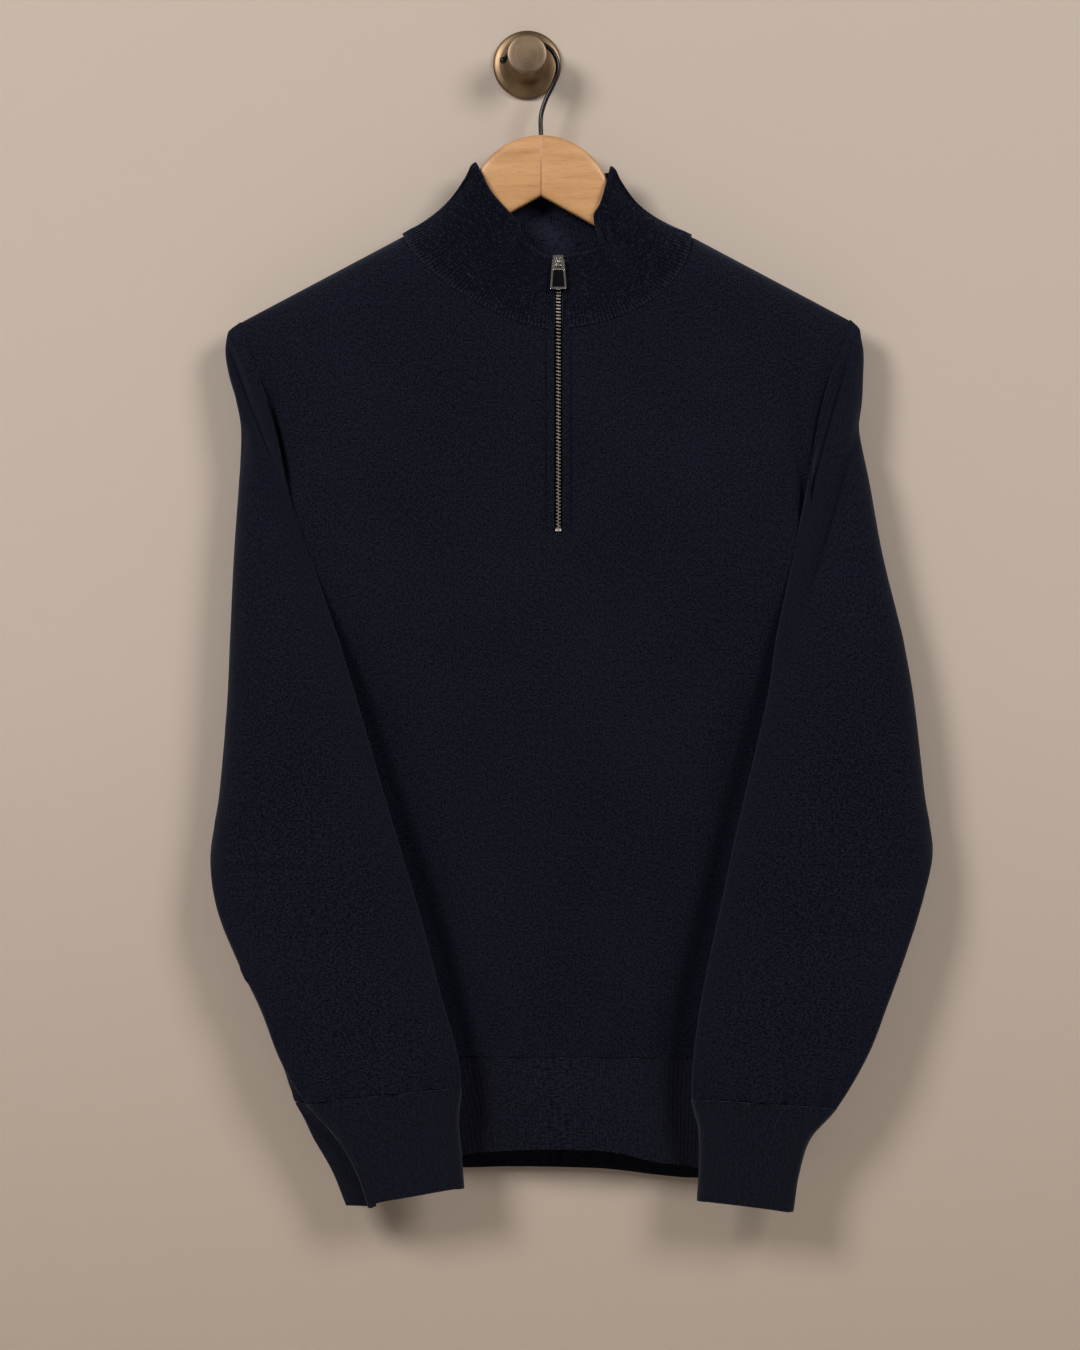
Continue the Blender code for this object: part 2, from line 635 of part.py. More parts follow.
def mesh_object(name, vertices, faces, skin, parent=None, sharp=40):
    """A named object from points in millimetres; unused points are dropped, faces point out."""
    vertices = np.asarray(vertices, float) * MM
    used = sorted({v for face in faces for v in face})
    renumber = {old: new for new, old in enumerate(used)}
    faces = [tuple(renumber[v] for v in face) for face in faces]
    vertices = vertices[used]
    if signed_volume(vertices, faces) < 0:
        faces = [tuple(reversed(face)) for face in faces]
    mesh = bpy.data.meshes.new(name)
    mesh.from_pydata([tuple(v) for v in vertices], [], faces)
    mesh.materials.append(skin)
    mesh.shade_smooth()
    mesh.set_sharp_from_angle(angle=math.radians(sharp))
    made = bpy.data.objects.new(name, mesh)
    bpy.context.scene.collection.objects.link(made)
    if parent is not None:
        made.parent = parent
    return made


def ring_solid(name, rings, skin, sharp=40):
    """A closed solid through rings of points, with a fan at each end."""
    count = len(rings[0])
    vertices = np.vstack([rings.reshape(-1, 3), rings[0].mean(0), rings[-1].mean(0)])
    first = len(rings) * count
    faces = []
    for i in range(len(rings) - 1):
        for j in range(count):
            k = (j + 1) % count
            faces.append((i * count + j, i * count + k, (i + 1) * count + k, (i + 1) * count + j))
    top = (len(rings) - 1) * count
    for j in range(count):
        k = (j + 1) % count
        faces.append((first, k, j))
        faces.append((first + 1, top + j, top + k))
    return mesh_object(name, vertices, faces, skin, sharp=sharp)


# ---------------------------------------------------------------- pieces

def build_body(knit, rib):
    near_zip = np.array([0.9, 0.68, 0.4, 0.16])
    left_columns = np.r_[np.linspace(-1, NECK_COLUMN_LEFT, 7), NECK_COLUMN_LEFT * near_zip]
    right_columns = np.r_[NECK_COLUMN_RIGHT * near_zip[::-1], np.linspace(NECK_COLUMN_RIGHT, 1, 7)]
    columns = np.r_[left_columns, -1e-9, 1e-9, right_columns]
    centre_top = NECK_POINT_HEIGHT - FRONT_NECK_DROP + NECK_TUCK
    slit_row = (HEM_SEAM_FRONT - ZIP_FOOT) / (HEM_SEAM_FRONT - centre_top)
    rows = np.r_[0, 0.13, 0.27, 0.41, 0.5, 0.58, 0.64, slit_row, 0.77, 0.82, 0.87, 0.92,
                 0.96, 0.985, 1.0]
    slit_from = int(np.argmin(np.abs(rows - slit_row)))
    zip_column = len(left_columns)
    front = panel_grid(columns, rows, front_neck, HEM_SEAM_FRONT, front_off,
                       "front_left", "front_right", SIDE_SEAM_GAP / 2)
    wall_solid("front_panel", front, KNIT_WALL, knit,
               keep=lambda i, j: not (j == zip_column and i >= slit_from))
    back = panel_grid(columns[columns != 1e-9], rows, back_neck, HEM_SEAM_BACK, back_off,
                      "back_left", "back_right", -SIDE_SEAM_GAP / 2)
    wall_solid("back_panel", back, KNIT_WALL, knit)

    turns = np.linspace(0, 2 * math.pi, 36, endpoint=False)
    rings = []
    for t in (0, 0.35, 0.7, 1):
        ring = []
        for turn in turns:
            u = math.copysign(abs(math.cos(turn)) ** (2 / SECTION_POWER), math.cos(turn))
            is_front = math.sin(turn) >= 0
            guess = HEM_SEAM_SIDE - 70 * t
            across = MIDDLE
            for _ in range(3):
                left = float(read(BODY, "left", guess))
                right = float(read(BODY, "right", guess))
                across = (left + right) / 2 + u * (right - left) / 2
                top = hem_seam(across, guess, HEM_SEAM_FRONT if is_front else HEM_SEAM_BACK)
                foot = float(read(HEM_EDGE, "front" if is_front else "back", across, "across"))
                side_foot = float(read(HEM_EDGE, "back", across, "across")) + 3
                foot = side_foot + (foot - side_foot) * (1 - u * u)
                guess = float(top - HEM_GAP + (foot - top + HEM_GAP) * t)
            off = front_off(across, guess) if is_front else back_off(across, guess)
            ring.append(spot(across, guess, off))
        rings.append(ring)
    wall_solid("hem_rib", np.array(rings), RIB_WALL, rib, wrap=True)


def drawn_in(grid):
    """A grid with its four edges drawn in by half a joint, so that neighbouring walls never touch."""
    grid = grid.copy()
    for edge, inner in ((grid[0], grid[1]), (grid[-1], grid[-2]),
                        (grid[:, 0], grid[:, 1]), (grid[:, -1], grid[:, -2])):
        way = inner - edge
        edge += way / np.linalg.norm(way, axis=1)[:, None] * JOINT / 2
    return grid


def build_sleeves(knit, rib):
    upper = [0, 0.08, 0.17, 0.27, 0.38, 0.5, 0.64, 0.8, 1]
    elbow = len(upper) + 2
    front_fold = -1
    outer_edge = len(FRONT_SHARES) + 1
    for side, table, groove, seam, edge in (
            ("left", SLEEVE_LEFT, GROOVE_LEFT, CUFF_SEAM_LEFT, CUFF_EDGE_LEFT),
            ("right", SLEEVE_RIGHT, GROOVE_RIGHT, CUFF_SEAM_RIGHT, CUFF_EDGE_RIGHT)):
        heights = np.r_[-455, -490, -528, -576, -612, -650, -690, seam + 20, seam]
        rings = sleeve_grid(side, table, groove, upper, heights)
        normals = grid_normals(rings, True)
        across_front = np.arange(front_fold, outer_edge + 1)
        across_back = np.arange(outer_edge, rings.shape[1] + front_fold + 1)
        for length, ring_range in (("upper", slice(0, elbow + 1)), ("lower", slice(elbow, None))):
            for layer, points in (("front", across_front), ("back", across_back)):
                wall_solid("sleeve_%s_%s_%s" % (side, length, layer), drawn_in(rings[ring_range][:, points]),
                           KNIT_WALL, knit, normals=normals[ring_range][:, points])
        out = -1 if side == "left" else 1
        cuff_heights = np.linspace(seam - CUFF_GAP, edge, 4)
        rings = np.array([section(table, height, out) for height in cuff_heights])
        wall_solid("cuff_" + side, rings, RIB_WALL, rib, wrap=True)


def build_collar(rib):
    rows = collar_grid(43, [0, 0.2, 0.45, 0.75, 1])
    wall_solid("collar", rows, COLLAR_WALL, rib)
    return rows


def zip_line(collar_rows, count):
    """Middle of the zip from its foot to the top of the collar: height and distance off the wall."""
    seam_height = NECK_POINT_HEIGHT - FRONT_NECK_DROP
    below = np.linspace(ZIP_FOOT + 1, seam_height - 6, 12)
    body = [(height, float(front_off(ZIP_ACROSS, height))) for height in below]
    column = (collar_rows[:, 0] + collar_rows[:, -1]) / 2
    collar = [(point[2], -point[1]) for point in column[1:]]
    return smooth_path(np.array(body + collar), count)


def strip(name, line, left, right, wall, lift, skin):
    """A thin band that follows the zip's line."""
    steps = np.linspace(left, right, 2)
    slope = np.gradient(line, axis=0)
    slope /= np.linalg.norm(slope, axis=1)[:, None]
    grid = np.zeros((len(line), len(steps), 3))
    for i, (height, off) in enumerate(line):
        for j, step in enumerate(steps):
            grid[i, j] = spot(ZIP_ACROSS + step, height - slope[i, 1] * lift, off + slope[i, 0] * lift)
    return wall_solid(name, grid, wall, skin)


def build_zip(collar_rows, tape, metal):
    line = zip_line(collar_rows, 22)
    under = -(COLLAR_WALL / 2 + TAPE_GAP + TAPE_WALL / 2)
    strip("zip_tape_left", line, -TAPE_HALF, -0.3, TAPE_WALL, under, tape)
    strip("zip_tape_right", line, 0.3, TAPE_HALF, TAPE_WALL, under, tape)

    top = Vector((ZIP_ACROSS, -line[-1][1], line[-1][0]))
    lower = Vector((ZIP_ACROSS, -line[-4][1], line[-4][0]))
    down = (lower - top).normalized()
    outward = Vector((1, 0, 0)).cross(down)
    if outward.y > 0:
        outward.negate()
    frame = Matrix((Vector((1, 0, 0)), down, outward)).transposed()
    strip("zip_chain", line[1:], -CHAIN_HALF, CHAIN_HALF, CHAIN_WALL, 0.1, metal)

    def place(u, v, w):
        return top + frame @ Vector((u, v, w + SLIDER_LIFT))

    stop = [top + frame @ Vector(corner) for corner in box_points(-2.6, 2.6, 0, 3.2, -1.0, 1.2)]
    foot_slope = Vector((0, -(line[0][1] - line[1][1]), line[0][0] - line[1][0])).normalized()
    foot = Vector((ZIP_ACROSS, -line[0][1], line[0][0])) - foot_slope * 3.0
    stop = [foot + (point - top) for point in stop]
    mesh_object("zip_stop", stop, BOX_FACES, metal)

    # Slider: a wedge with a bridge over it, made from one outline so that it stays one body
    face = SLIDER_WALL / 2
    body = extrude("slider_body", [(-SLIDER_HALF, 0.8), (-SLIDER_HALF + 0.8, 0), (SLIDER_HALF - 0.8, 0),
                                   (SLIDER_HALF, 0.8), (SLIDER_HALF - 1.4, SLIDER_LENGTH - 0.8),
                                   (SLIDER_HALF - 2.2, SLIDER_LENGTH), (-SLIDER_HALF + 2.2, SLIDER_LENGTH),
                                   (-SLIDER_HALF + 1.4, SLIDER_LENGTH - 0.8)], -face, face, place, metal)
    start = 1.4
    arch = [(start, face - 0.6), (start, face + BRIDGE_GAP + 0.4),
            (start + 0.8, face + BRIDGE_GAP + BRIDGE_LEG),
            (start + 5.4, face + BRIDGE_GAP + BRIDGE_LEG), (start + 6.2, face + BRIDGE_GAP + 0.4),
            (start + 6.2, face - 0.6), (start + 6.2 - BRIDGE_LEG, face - 0.6),
            (start + 6.2 - BRIDGE_LEG, face + BRIDGE_GAP), (start + BRIDGE_LEG, face + BRIDGE_GAP),
            (start + BRIDGE_LEG, face - 0.6)]
    bridge = extrude_side("slider_bridge", arch, -BRIDGE_HALF, BRIDGE_HALF, place, metal)
    union = body.modifiers.new("bridge", "BOOLEAN")
    union.operation = "UNION"
    union.object = bridge
    bridge.hide_render = True
    bridge.display_type = "WIRE"
    body.name = "zip_slider"

    # Pull tab, on an empty at its hinge
    pivot_v = start + 6.2 - BRIDGE_LEG - 1.3
    pivot_w = face + BRIDGE_GAP / 2
    pivot = place(0, pivot_v, pivot_w)
    hinge = bpy.data.objects.new("pull_hinge", None)
    hinge.location = pivot * MM
    bpy.context.scene.collection.objects.link(hinge)
    half_bar = PULL_BAR / 2

    def swing(u, v, w):
        return frame @ Vector((u, v, w))

    chamfer = 1.6
    outline = [(-PULL_TOP_HALF, -half_bar), (PULL_TOP_HALF, -half_bar),
               (PULL_FOOT_HALF, PULL_LENGTH - chamfer), (PULL_FOOT_HALF - chamfer, PULL_LENGTH),
               (-PULL_FOOT_HALF + chamfer, PULL_LENGTH), (-PULL_FOOT_HALF, PULL_LENGTH - chamfer)]
    window_end = half_bar + PULL_WINDOW_LENGTH
    window = [(-PULL_WINDOW_HALF, half_bar), (PULL_WINDOW_HALF, half_bar),
              (PULL_WINDOW_HALF, window_end), (-PULL_WINDOW_HALF, window_end)]
    plate = extrude("zip_pull", outline, -PULL_WALL / 2, PULL_WALL / 2, swing, metal, parent=hinge)
    cutter = extrude("pull_window", window, -PULL_WALL, PULL_WALL, swing, metal, parent=hinge)
    cut = plate.modifiers.new("window", "BOOLEAN")
    cut.operation = "DIFFERENCE"
    cut.object = cutter
    cutter.hide_render = True
    cutter.display_type = "WIRE"


BOX_FACES = [(0, 3, 2, 1), (4, 5, 6, 7), (0, 1, 5, 4), (1, 2, 6, 5), (2, 3, 7, 6), (3, 0, 4, 7)]


def box_points(left, right, near, far, low, high):
    return [(left, near, low), (right, near, low), (right, far, low), (left, far, low),
            (left, near, high), (right, near, high), (right, far, high), (left, far, high)]


def prism(name, low, high, skin, parent=None):
    """A solid between two equal outlines."""
    count = len(low)
    faces = [tuple(range(count))[::-1], tuple(range(count, 2 * count))]
    faces.extend((j, (j + 1) % count, count + (j + 1) % count, count + j) for j in range(count))
    return mesh_object(name, [tuple(p) for p in low + high], faces, skin, parent=parent, sharp=30)


def extrude(name, outline, low, high, place, skin, parent=None):
    return prism(name, [place(u, v, low) for u, v in outline], [place(u, v, high) for u, v in outline],
                 skin, parent)


def extrude_side(name, outline, low, high, place, skin):
    return prism(name, [place(low, v, w) for v, w in outline], [place(high, v, w) for v, w in outline], skin)


def arm_top(reach):
    """Height of a hanger arm's top edge at a distance from the crest."""
    if reach <= CREST_REACH:
        return CREST_HEIGHT - CREST_RADIUS + math.sqrt(CREST_RADIUS ** 2 - reach ** 2)
    start = CREST_HEIGHT - CREST_RADIUS + math.sqrt(CREST_RADIUS ** 2 - CREST_REACH ** 2)
    end = ARM_JOIN_HEIGHT
    if reach >= ARM_JOIN:
        return end - SHOULDER_SLOPE * (reach - ARM_JOIN)
    t = (reach - CREST_REACH) / (ARM_JOIN - CREST_REACH)
    steep = 2.6 * (ARM_JOIN - CREST_REACH)
    gentle = SHOULDER_SLOPE * (ARM_JOIN - CREST_REACH)
    return ((1 + 2 * t) * (1 - t) ** 2 * start - t * (1 - t) ** 2 * steep
            + t * t * (3 - 2 * t) * end - t * t * (t - 1) * gentle)


def build_hanger(wood, black):
    for side, out in (("left", -1), ("right", 1)):
        rings = []
        reaches = np.r_[0.2, 12, 24, 34, 42, 49, 54, 60, 70, 95, 130, 170,
                        ARM_TIP - 6, ARM_TIP - 1.5, ARM_TIP]
        for reach in reaches:
            share = reach / ARM_TIP
            top = arm_top(reach)
            low = ARM_UNDERSIDE - ARM_UNDERSIDE_SLOPE * reach
            thick = ARM_THICK_MIDDLE + (ARM_THICK_TIP - ARM_THICK_MIDDLE) * share
            close = min(1.0, math.sqrt(max(0.0, (ARM_TIP - reach + 0.6) / 6.6)))
            off = ARM_OFF + ARM_BOW * share ** 2
            middle = (top + low) / 2
            ring = []
            for turn in np.linspace(0, 2 * math.pi, 16, endpoint=False):
                c, s = math.cos(turn), math.sin(turn)
                w = math.copysign(abs(c) ** 0.5, c) * thick / 2 * (0.4 + 0.6 * close)
                h = math.copysign(abs(s) ** 0.5, s) * (top - low) / 2 * (0.25 + 0.75 * close)
                ring.append(spot(CREST_ACROSS + out * reach, middle + h, off + w))
            rings.append(ring)
        ring_solid("hanger_arm_" + side, np.array(rings), wood)

    route = smooth_path([spot(row.across, row.height, ARM_OFF) for row in HOOK_PATH], 44)
    rings = []
    radii = np.full(len(route), HOOK_WIRE / 2)
    ball = HOOK_BALL / 2
    tail = np.linalg.norm(route - route[-1], axis=1)
    round_end = np.sqrt(np.clip(ball ** 2 - (tail - ball) ** 2, 0.3, None))
    radii = np.where(tail < 2 * ball, np.maximum(radii, round_end), radii)
    for k, point in enumerate(route):
        ahead = route[min(k + 1, len(route) - 1)] - route[max(k - 1, 0)]
        ahead /= np.linalg.norm(ahead)
        across = np.cross(ahead, (0, 1, 0))
        rings.append([point + radii[k] * (math.cos(a) * across + math.sin(a) * np.array((0, 1, 0)))
                      for a in np.linspace(0, 2 * math.pi, 8, endpoint=False)])
    ring_solid("hanger_hook", np.array(rings), black)


def turned(name, profile, sides, skin):
    rings = [[spot(row.radius * math.cos(a), row.radius * math.sin(a), row.off)
              for a in np.linspace(0, 2 * math.pi, sides, endpoint=False)] for row in profile]
    ring_solid(name, np.array(rings), skin, sharp=30)


def build_peg(brass, bronze):
    turned("peg_base", PEG_BASE, 48, brass)
    turned("peg_knob", PEG_KNOB, 36, bronze)


clear_scene()
NAVY = material("navy knit", (0.010, 0.012, 0.022), 0.95)
NAVY_RIB = material("navy rib", (0.009, 0.011, 0.020), 0.95)
TAPE = material("navy zip tape", (0.006, 0.007, 0.012), 0.9)
ZIP_METAL = material("polished zip metal", (0.60, 0.55, 0.48), 0.3, 1.0)
WOOD = material("pale beech", (0.60, 0.34, 0.15), 0.45)
BLACK = material("black wire", (0.01, 0.01, 0.01), 0.35, 0.6)
BRASS = material("aged brass", (0.33, 0.22, 0.11), 0.38, 1.0)
BRONZE = material("dark bronze", (0.16, 0.11, 0.07), 0.4, 1.0)

build_peg(BRASS, BRONZE)
build_hanger(WOOD, BLACK)
build_body(NAVY, NAVY_RIB)
build_sleeves(NAVY, NAVY_RIB)
build_zip(build_collar(NAVY_RIB), TAPE, ZIP_METAL)
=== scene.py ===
"""Quarter zip sweater on a wooden hanger, hung by its hook on a brass wall peg.

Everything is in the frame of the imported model: the wall is the plane y = 0, +X runs along it to
the viewer's right, +Z is up and -Y points out of the wall. Sizes are in millimetres and become
metres when a mesh is made. "Off" is a distance off the wall, so y = -off.
"""
import math
from collections import namedtuple

import bmesh
import bpy
import numpy as np
from mathutils import Matrix, Vector


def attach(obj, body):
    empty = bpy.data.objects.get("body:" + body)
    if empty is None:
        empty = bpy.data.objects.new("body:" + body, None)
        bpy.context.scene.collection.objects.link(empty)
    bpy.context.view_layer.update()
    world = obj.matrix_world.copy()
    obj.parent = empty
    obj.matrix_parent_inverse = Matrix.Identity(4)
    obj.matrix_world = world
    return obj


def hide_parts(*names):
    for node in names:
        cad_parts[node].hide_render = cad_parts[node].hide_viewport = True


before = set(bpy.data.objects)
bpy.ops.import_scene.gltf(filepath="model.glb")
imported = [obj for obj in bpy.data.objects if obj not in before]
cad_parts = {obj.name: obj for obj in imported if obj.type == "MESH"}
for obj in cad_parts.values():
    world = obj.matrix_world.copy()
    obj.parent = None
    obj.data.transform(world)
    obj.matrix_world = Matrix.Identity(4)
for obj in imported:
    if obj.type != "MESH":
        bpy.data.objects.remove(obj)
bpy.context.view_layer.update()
MM = 0.001
HUNG = "sweater_on_hanger"      # the body that hangs on the wall
TAB = "pull_tab"                # the zip's pull tab, which swings


# ================================================================ room
# A painted wall behind the sweater and a plain pale floor well below it. The wall's colour holds painted shade: it
# darkens towards the floor and a little towards its top. The wall is seen from its front only, so that the
# sweater's back can be looked at too.

def feed(tree, node, inputs):
    """Fills a node's inputs, each from a plain value or from another node's output."""
    for name, value in inputs.items():
        if isinstance(value, bpy.types.NodeSocket):
            tree.links.new(value, node.inputs[name])
        else:
            node.inputs[name].default_value = value


def add(tree, kind, inputs, out=0, **settings):
    """Adds a node and gives one of its outputs."""
    node = tree.nodes.new(kind)
    for name, value in settings.items():
        setattr(node, name, value)
    feed(tree, node, inputs)
    return node.outputs[out]


def maths(tree, operation, *values):
    return add(tree, "ShaderNodeMath", dict(enumerate(values)), operation=operation)


def noise(tree, where, scale, detail, **more):
    return add(tree, "ShaderNodeTexNoise", {"Vector": where, "Scale": scale, "Detail": detail, **more})


def bump(tree, height, strength, distance):
    return add(tree, "ShaderNodeBump", {"Height": height, "Strength": strength, "Distance": distance})


def ramp(tree, source, stops):
    """A colour ramp read by a value."""
    colour = add(tree, "ShaderNodeValToRGB", {"Fac": source})
    elements = colour.node.color_ramp.elements
    while len(elements) < len(stops):
        elements.new(0.5)
    for element, (place, stop) in zip(elements, stops):
        element.position = place
        element.color = (*stop, 1.0)
    return colour


def new_material(name):
    made = bpy.data.materials.new(name)
    made.use_nodes = True
    tree = made.node_tree
    return made, tree, tree.nodes["Principled BSDF"], add(tree, "ShaderNodeTexCoord", {}, "Object")


def in_scene(name, data):
    made = bpy.data.objects.new(name, data)
    bpy.context.scene.collection.objects.link(made)
    return made


def flat_sheet(name, corners, paint):
    mesh = bpy.data.meshes.new(name)
    mesh.from_pydata(corners, [], [(0, 1, 2, 3)])
    mesh.materials.append(paint)
    in_scene(name, mesh)


def paint_wall():
    """Warm paint with painted shade, darker towards the floor and a little darker towards the top where less light
    falls, and clear from behind.
    """
    paint, tree, shader, place = new_material("warm_wall_paint")
    up = add(tree, "ShaderNodeSeparateXYZ", {0: place}, "Z")
    height = add(tree, "ShaderNodeMapRange", {"Value": up, "From Min": -1.0, "From Max": 0.1})
    # painted shade: the colour darkens towards the floor and a little towards the top, where less light falls
    stops = [(0.0, (0.435, 0.357, 0.292)), (0.5, (0.494, 0.415, 0.355)), (1.0, (0.468, 0.399, 0.340))]
    feed(tree, shader, {"Base Color": ramp(tree, height, stops), "Roughness": 0.9, "Specular IOR Level": 0.1})
    mix = add(tree, "ShaderNodeMixShader", {
        "Fac": add(tree, "ShaderNodeNewGeometry", {}, "Backfacing"), 1: shader.outputs["BSDF"],
        2: add(tree, "ShaderNodeBsdfTransparent", {})})
    feed(tree, tree.nodes["Material Output"], {"Surface": mix})
    return paint


WALL_HALF = 1.35
FLOOR_HEIGHT = -1.5
WALL_FACE = 0.0005          # just behind the peg's back
flat_sheet("wall", [(-WALL_HALF, WALL_FACE, FLOOR_HEIGHT), (WALL_HALF, WALL_FACE, FLOOR_HEIGHT),
                    (WALL_HALF, WALL_FACE, 0.9), (-WALL_HALF, WALL_FACE, 0.9)], paint_wall())
floor_paint, tree, shader, _ = new_material("pale_floor")
feed(tree, shader, {"Base Color": (0.62, 0.58, 0.54, 1.0), "Roughness": 0.8})
flat_sheet("floor", [(-3, -4, FLOOR_HEIGHT), (3, -4, FLOOR_HEIGHT), (3, 2, FLOOR_HEIGHT),
                     (-3, 2, FLOOR_HEIGHT)], floor_paint)

camera_data = bpy.data.cameras.new("camera")
camera_data.sensor_fit = "VERTICAL"
camera_data.sensor_height = 36.0
camera_data.lens = 90.0
camera = in_scene("camera", camera_data)
camera.location = (0.0093, -2.48, -0.448)
camera.rotation_euler = (math.pi / 2, 0, 0)
bpy.context.scene.camera = camera

Lamp = namedtuple("Lamp", "name place aim size power colour")
for lamp in (
        Lamp("soft_light_left", (-1.45, -2.1, 0.80), (0.0, 0.0, -0.40), 0.95, 51.0, (1.0, 0.985, 0.965)),
        Lamp("soft_light_right", (1.45, -2.1, 0.75), (0.05, 0.0, -0.40), 1.05, 40.0, (1.0, 0.98, 0.955)),
        Lamp("soft_light_back", (0.9, 1.9, 0.7), (0.0, 0.0, -0.4), 1.2, 24.0, (1.0, 0.98, 0.96))):
    data = bpy.data.lights.new(lamp.name, "AREA")
    data.shape = "DISK"
    data.size = lamp.size
    data.energy = lamp.power
    data.color = lamp.colour
    made = in_scene(lamp.name, data)
    made.location = lamp.place
    made.rotation_euler = (Vector(lamp.aim) - Vector(lamp.place)).to_track_quat("-Z", "Y").to_euler()

world = bpy.data.worlds.new("studio")
world.use_nodes = True
feed(world.node_tree, world.node_tree.nodes["Background"], {"Color": (0.95, 0.93, 0.91, 1.0), "Strength": 0.12})
bpy.context.scene.world = world
bpy.context.scene.view_settings.view_transform = "Standard"


# ================================================================ wall peg
# A turned brass rose on the wall and a turned knob in front of it, both brushed on the lathe and
# darkened with age. The hanger's hook rides on the neck between them.

def table(columns, *rows):
    """A table whose rows have named columns."""
    Row = namedtuple("Row", columns)
    return [Row(*row) for row in rows]


def stands_for(piece, slot, *nodes):
    """Hides the CAD nodes that a piece takes the place of; piece and slot are not used."""
    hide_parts(*nodes)


def spot(across, height, off):
    """A place in the frame, in millimetres."""
    return np.stack(np.broadcast_arrays(across, -np.asarray(off, float), height), -1).astype(float)


def even(points, count):
    """The same line with points at even distances along it."""
    lengths = np.r_[0, np.cumsum(np.linalg.norm(np.diff(points, axis=0), axis=1))]
    wanted = np.linspace(0, lengths[-1], count)
    return np.stack([np.interp(wanted, lengths, points[:, k]) for k in range(points.shape[1])], 1)


def smooth_path(points, count):
    """Points evenly spaced on a smooth curve through the given ones."""
    points = np.asarray(points, float)
    ahead = np.vstack([points[1:], 2 * points[-1] - points[-2]])
    behind = np.vstack([2 * points[0] - points[1], points[:-1]])
    slopes = (ahead - behind) / 2
    fine = []
    for i in range(len(points) - 1):
        for t in np.linspace(0, 1, 24, endpoint=False):
            fine.append((1 + 2 * t) * (1 - t) ** 2 * points[i] + t * (1 - t) ** 2 * slopes[i]
                        + t * t * (3 - 2 * t) * points[i + 1] + t * t * (t - 1) * slopes[i + 1])
    fine.append(points[-1])
    return even(np.array(fine), count)


def make_object(name, vertices, faces, skin, uv=None, body=HUNG, sharp=None):
    """A named object from points in millimetres that rides on a body; uv holds a pair a corner."""
    mesh = bpy.data.meshes.new(name)
    mesh.from_pydata((np.asarray(vertices, float) * MM).tolist(), [], faces)
    if uv is not None:
        mesh.uv_layers.new(name="knit").data.foreach_set("uv", np.asarray(uv, np.float32).ravel())
    mesh.materials.append(skin)
    mesh.shade_smooth()
    if sharp is not None:
        mesh.set_sharp_from_angle(angle=math.radians(sharp))
    made = in_scene(name, mesh)
    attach(made, body)
    return made


def through_rings(rings):
    """Points and faces of a closed solid through rings, with a fan at each end."""
    count = len(rings[0])
    vertices = np.vstack([rings.reshape(-1, 3), rings[0].mean(0), rings[-1].mean(0)])
    first = len(rings) * count
    faces = []
    for j in range(count):
        k = (j + 1) % count
        faces.extend((i + j, i + k, i + count + k, i + count + j) for i in range(0, first - count, count))
        faces += [(first, k, j), (first + 1, first - count + j, first - count + k)]
    return vertices, faces


def outward(made):
    """Turns every face of a closed mesh out."""
    shape = bmesh.new()
    shape.from_mesh(made.data)
    bmesh.ops.recalc_face_normals(shape, faces=shape.faces)
    shape.to_mesh(made.data)
    shape.free()
    return made


def lathe_brass(name, dark, light, roughness):
    """Brass with fine rings left by the lathe and a patchy brown tarnish."""
    brass, tree, shader, place = new_material(name)
    split = add(tree, "ShaderNodeSeparateXYZ", {0: place}).node.outputs
    flat = add(tree, "ShaderNodeCombineXYZ", {"X": split["X"], "Y": split["Z"]})
    radius = add(tree, "ShaderNodeVectorMath", {0: flat}, "Value", operation="LENGTH")
    along = maths(tree, "MULTIPLY_ADD", split["Y"], 0.7, radius)
    rings = add(tree, "ShaderNodeTexNoise", {"W": along, "Scale": 1400.0, "Detail": 3.0}, noise_dimensions="1D")
    patches = maths(tree, "MULTIPLY", noise(tree, place, 70.0, 5.0), 0.55)
    share = maths(tree, "MULTIPLY_ADD", rings, 0.45, patches)
    rough = add(tree, "ShaderNodeMapRange", {"Value": share, "To Min": roughness - 0.07,
                                             "To Max": roughness + 0.10})
    feed(tree, shader, {"Base Color": ramp(tree, share, [(0.32, dark), (0.68, light)]), "Roughness": rough,
                        "Metallic": 1.0, "Normal": bump(tree, rings, 0.25, 0.00008)})
    return brass


PEG_ROSE = table("radius off", (24.2, 0), (25.0, 0.8), (25.0, 2.6), (24.0, 3.8), (20.0, 5.4), (15.5, 8.6),
                 (12.0, 13.0), (10.2, 17.0))
PEG_KNOB = table("radius off", (9.4, 17.3), (9.2, 30.0), (9.8, 35.0), (12.2, 39.5), (14.0, 42.0),
                 (14.0, 45.0), (13.2, 46.0), (7.0, 46.6))


def turned(name, profile, node, slot, skin):
    """A turned piece: its profile rounded a little, then spun."""
    line = smooth_path(profile, 60)
    turns = np.linspace(0, 2 * math.pi, 96, endpoint=False)
    rings = np.array([spot(radius * np.cos(turns), radius * np.sin(turns), off) for radius, off in line])
    stands_for(outward(make_object(name, *through_rings(rings), skin, sharp=28)), slot, node)


turned("peg_rose", PEG_ROSE, "peg_base", "peg_brass",
       lathe_brass("aged_brass", (0.13, 0.085, 0.048), (0.30, 0.20, 0.115), 0.40))
turned("peg_turned_knob", PEG_KNOB, "peg_knob", "peg_bronze",
       lathe_brass("dark_bronze", (0.13, 0.09, 0.058), (0.24, 0.17, 0.115), 0.42))


# ================================================================ hanger
# Two steamed beech arms glued at the middle, rounded at the shoulders and lacquered, with a
# black lacquered steel wire hook screwed into the crest.

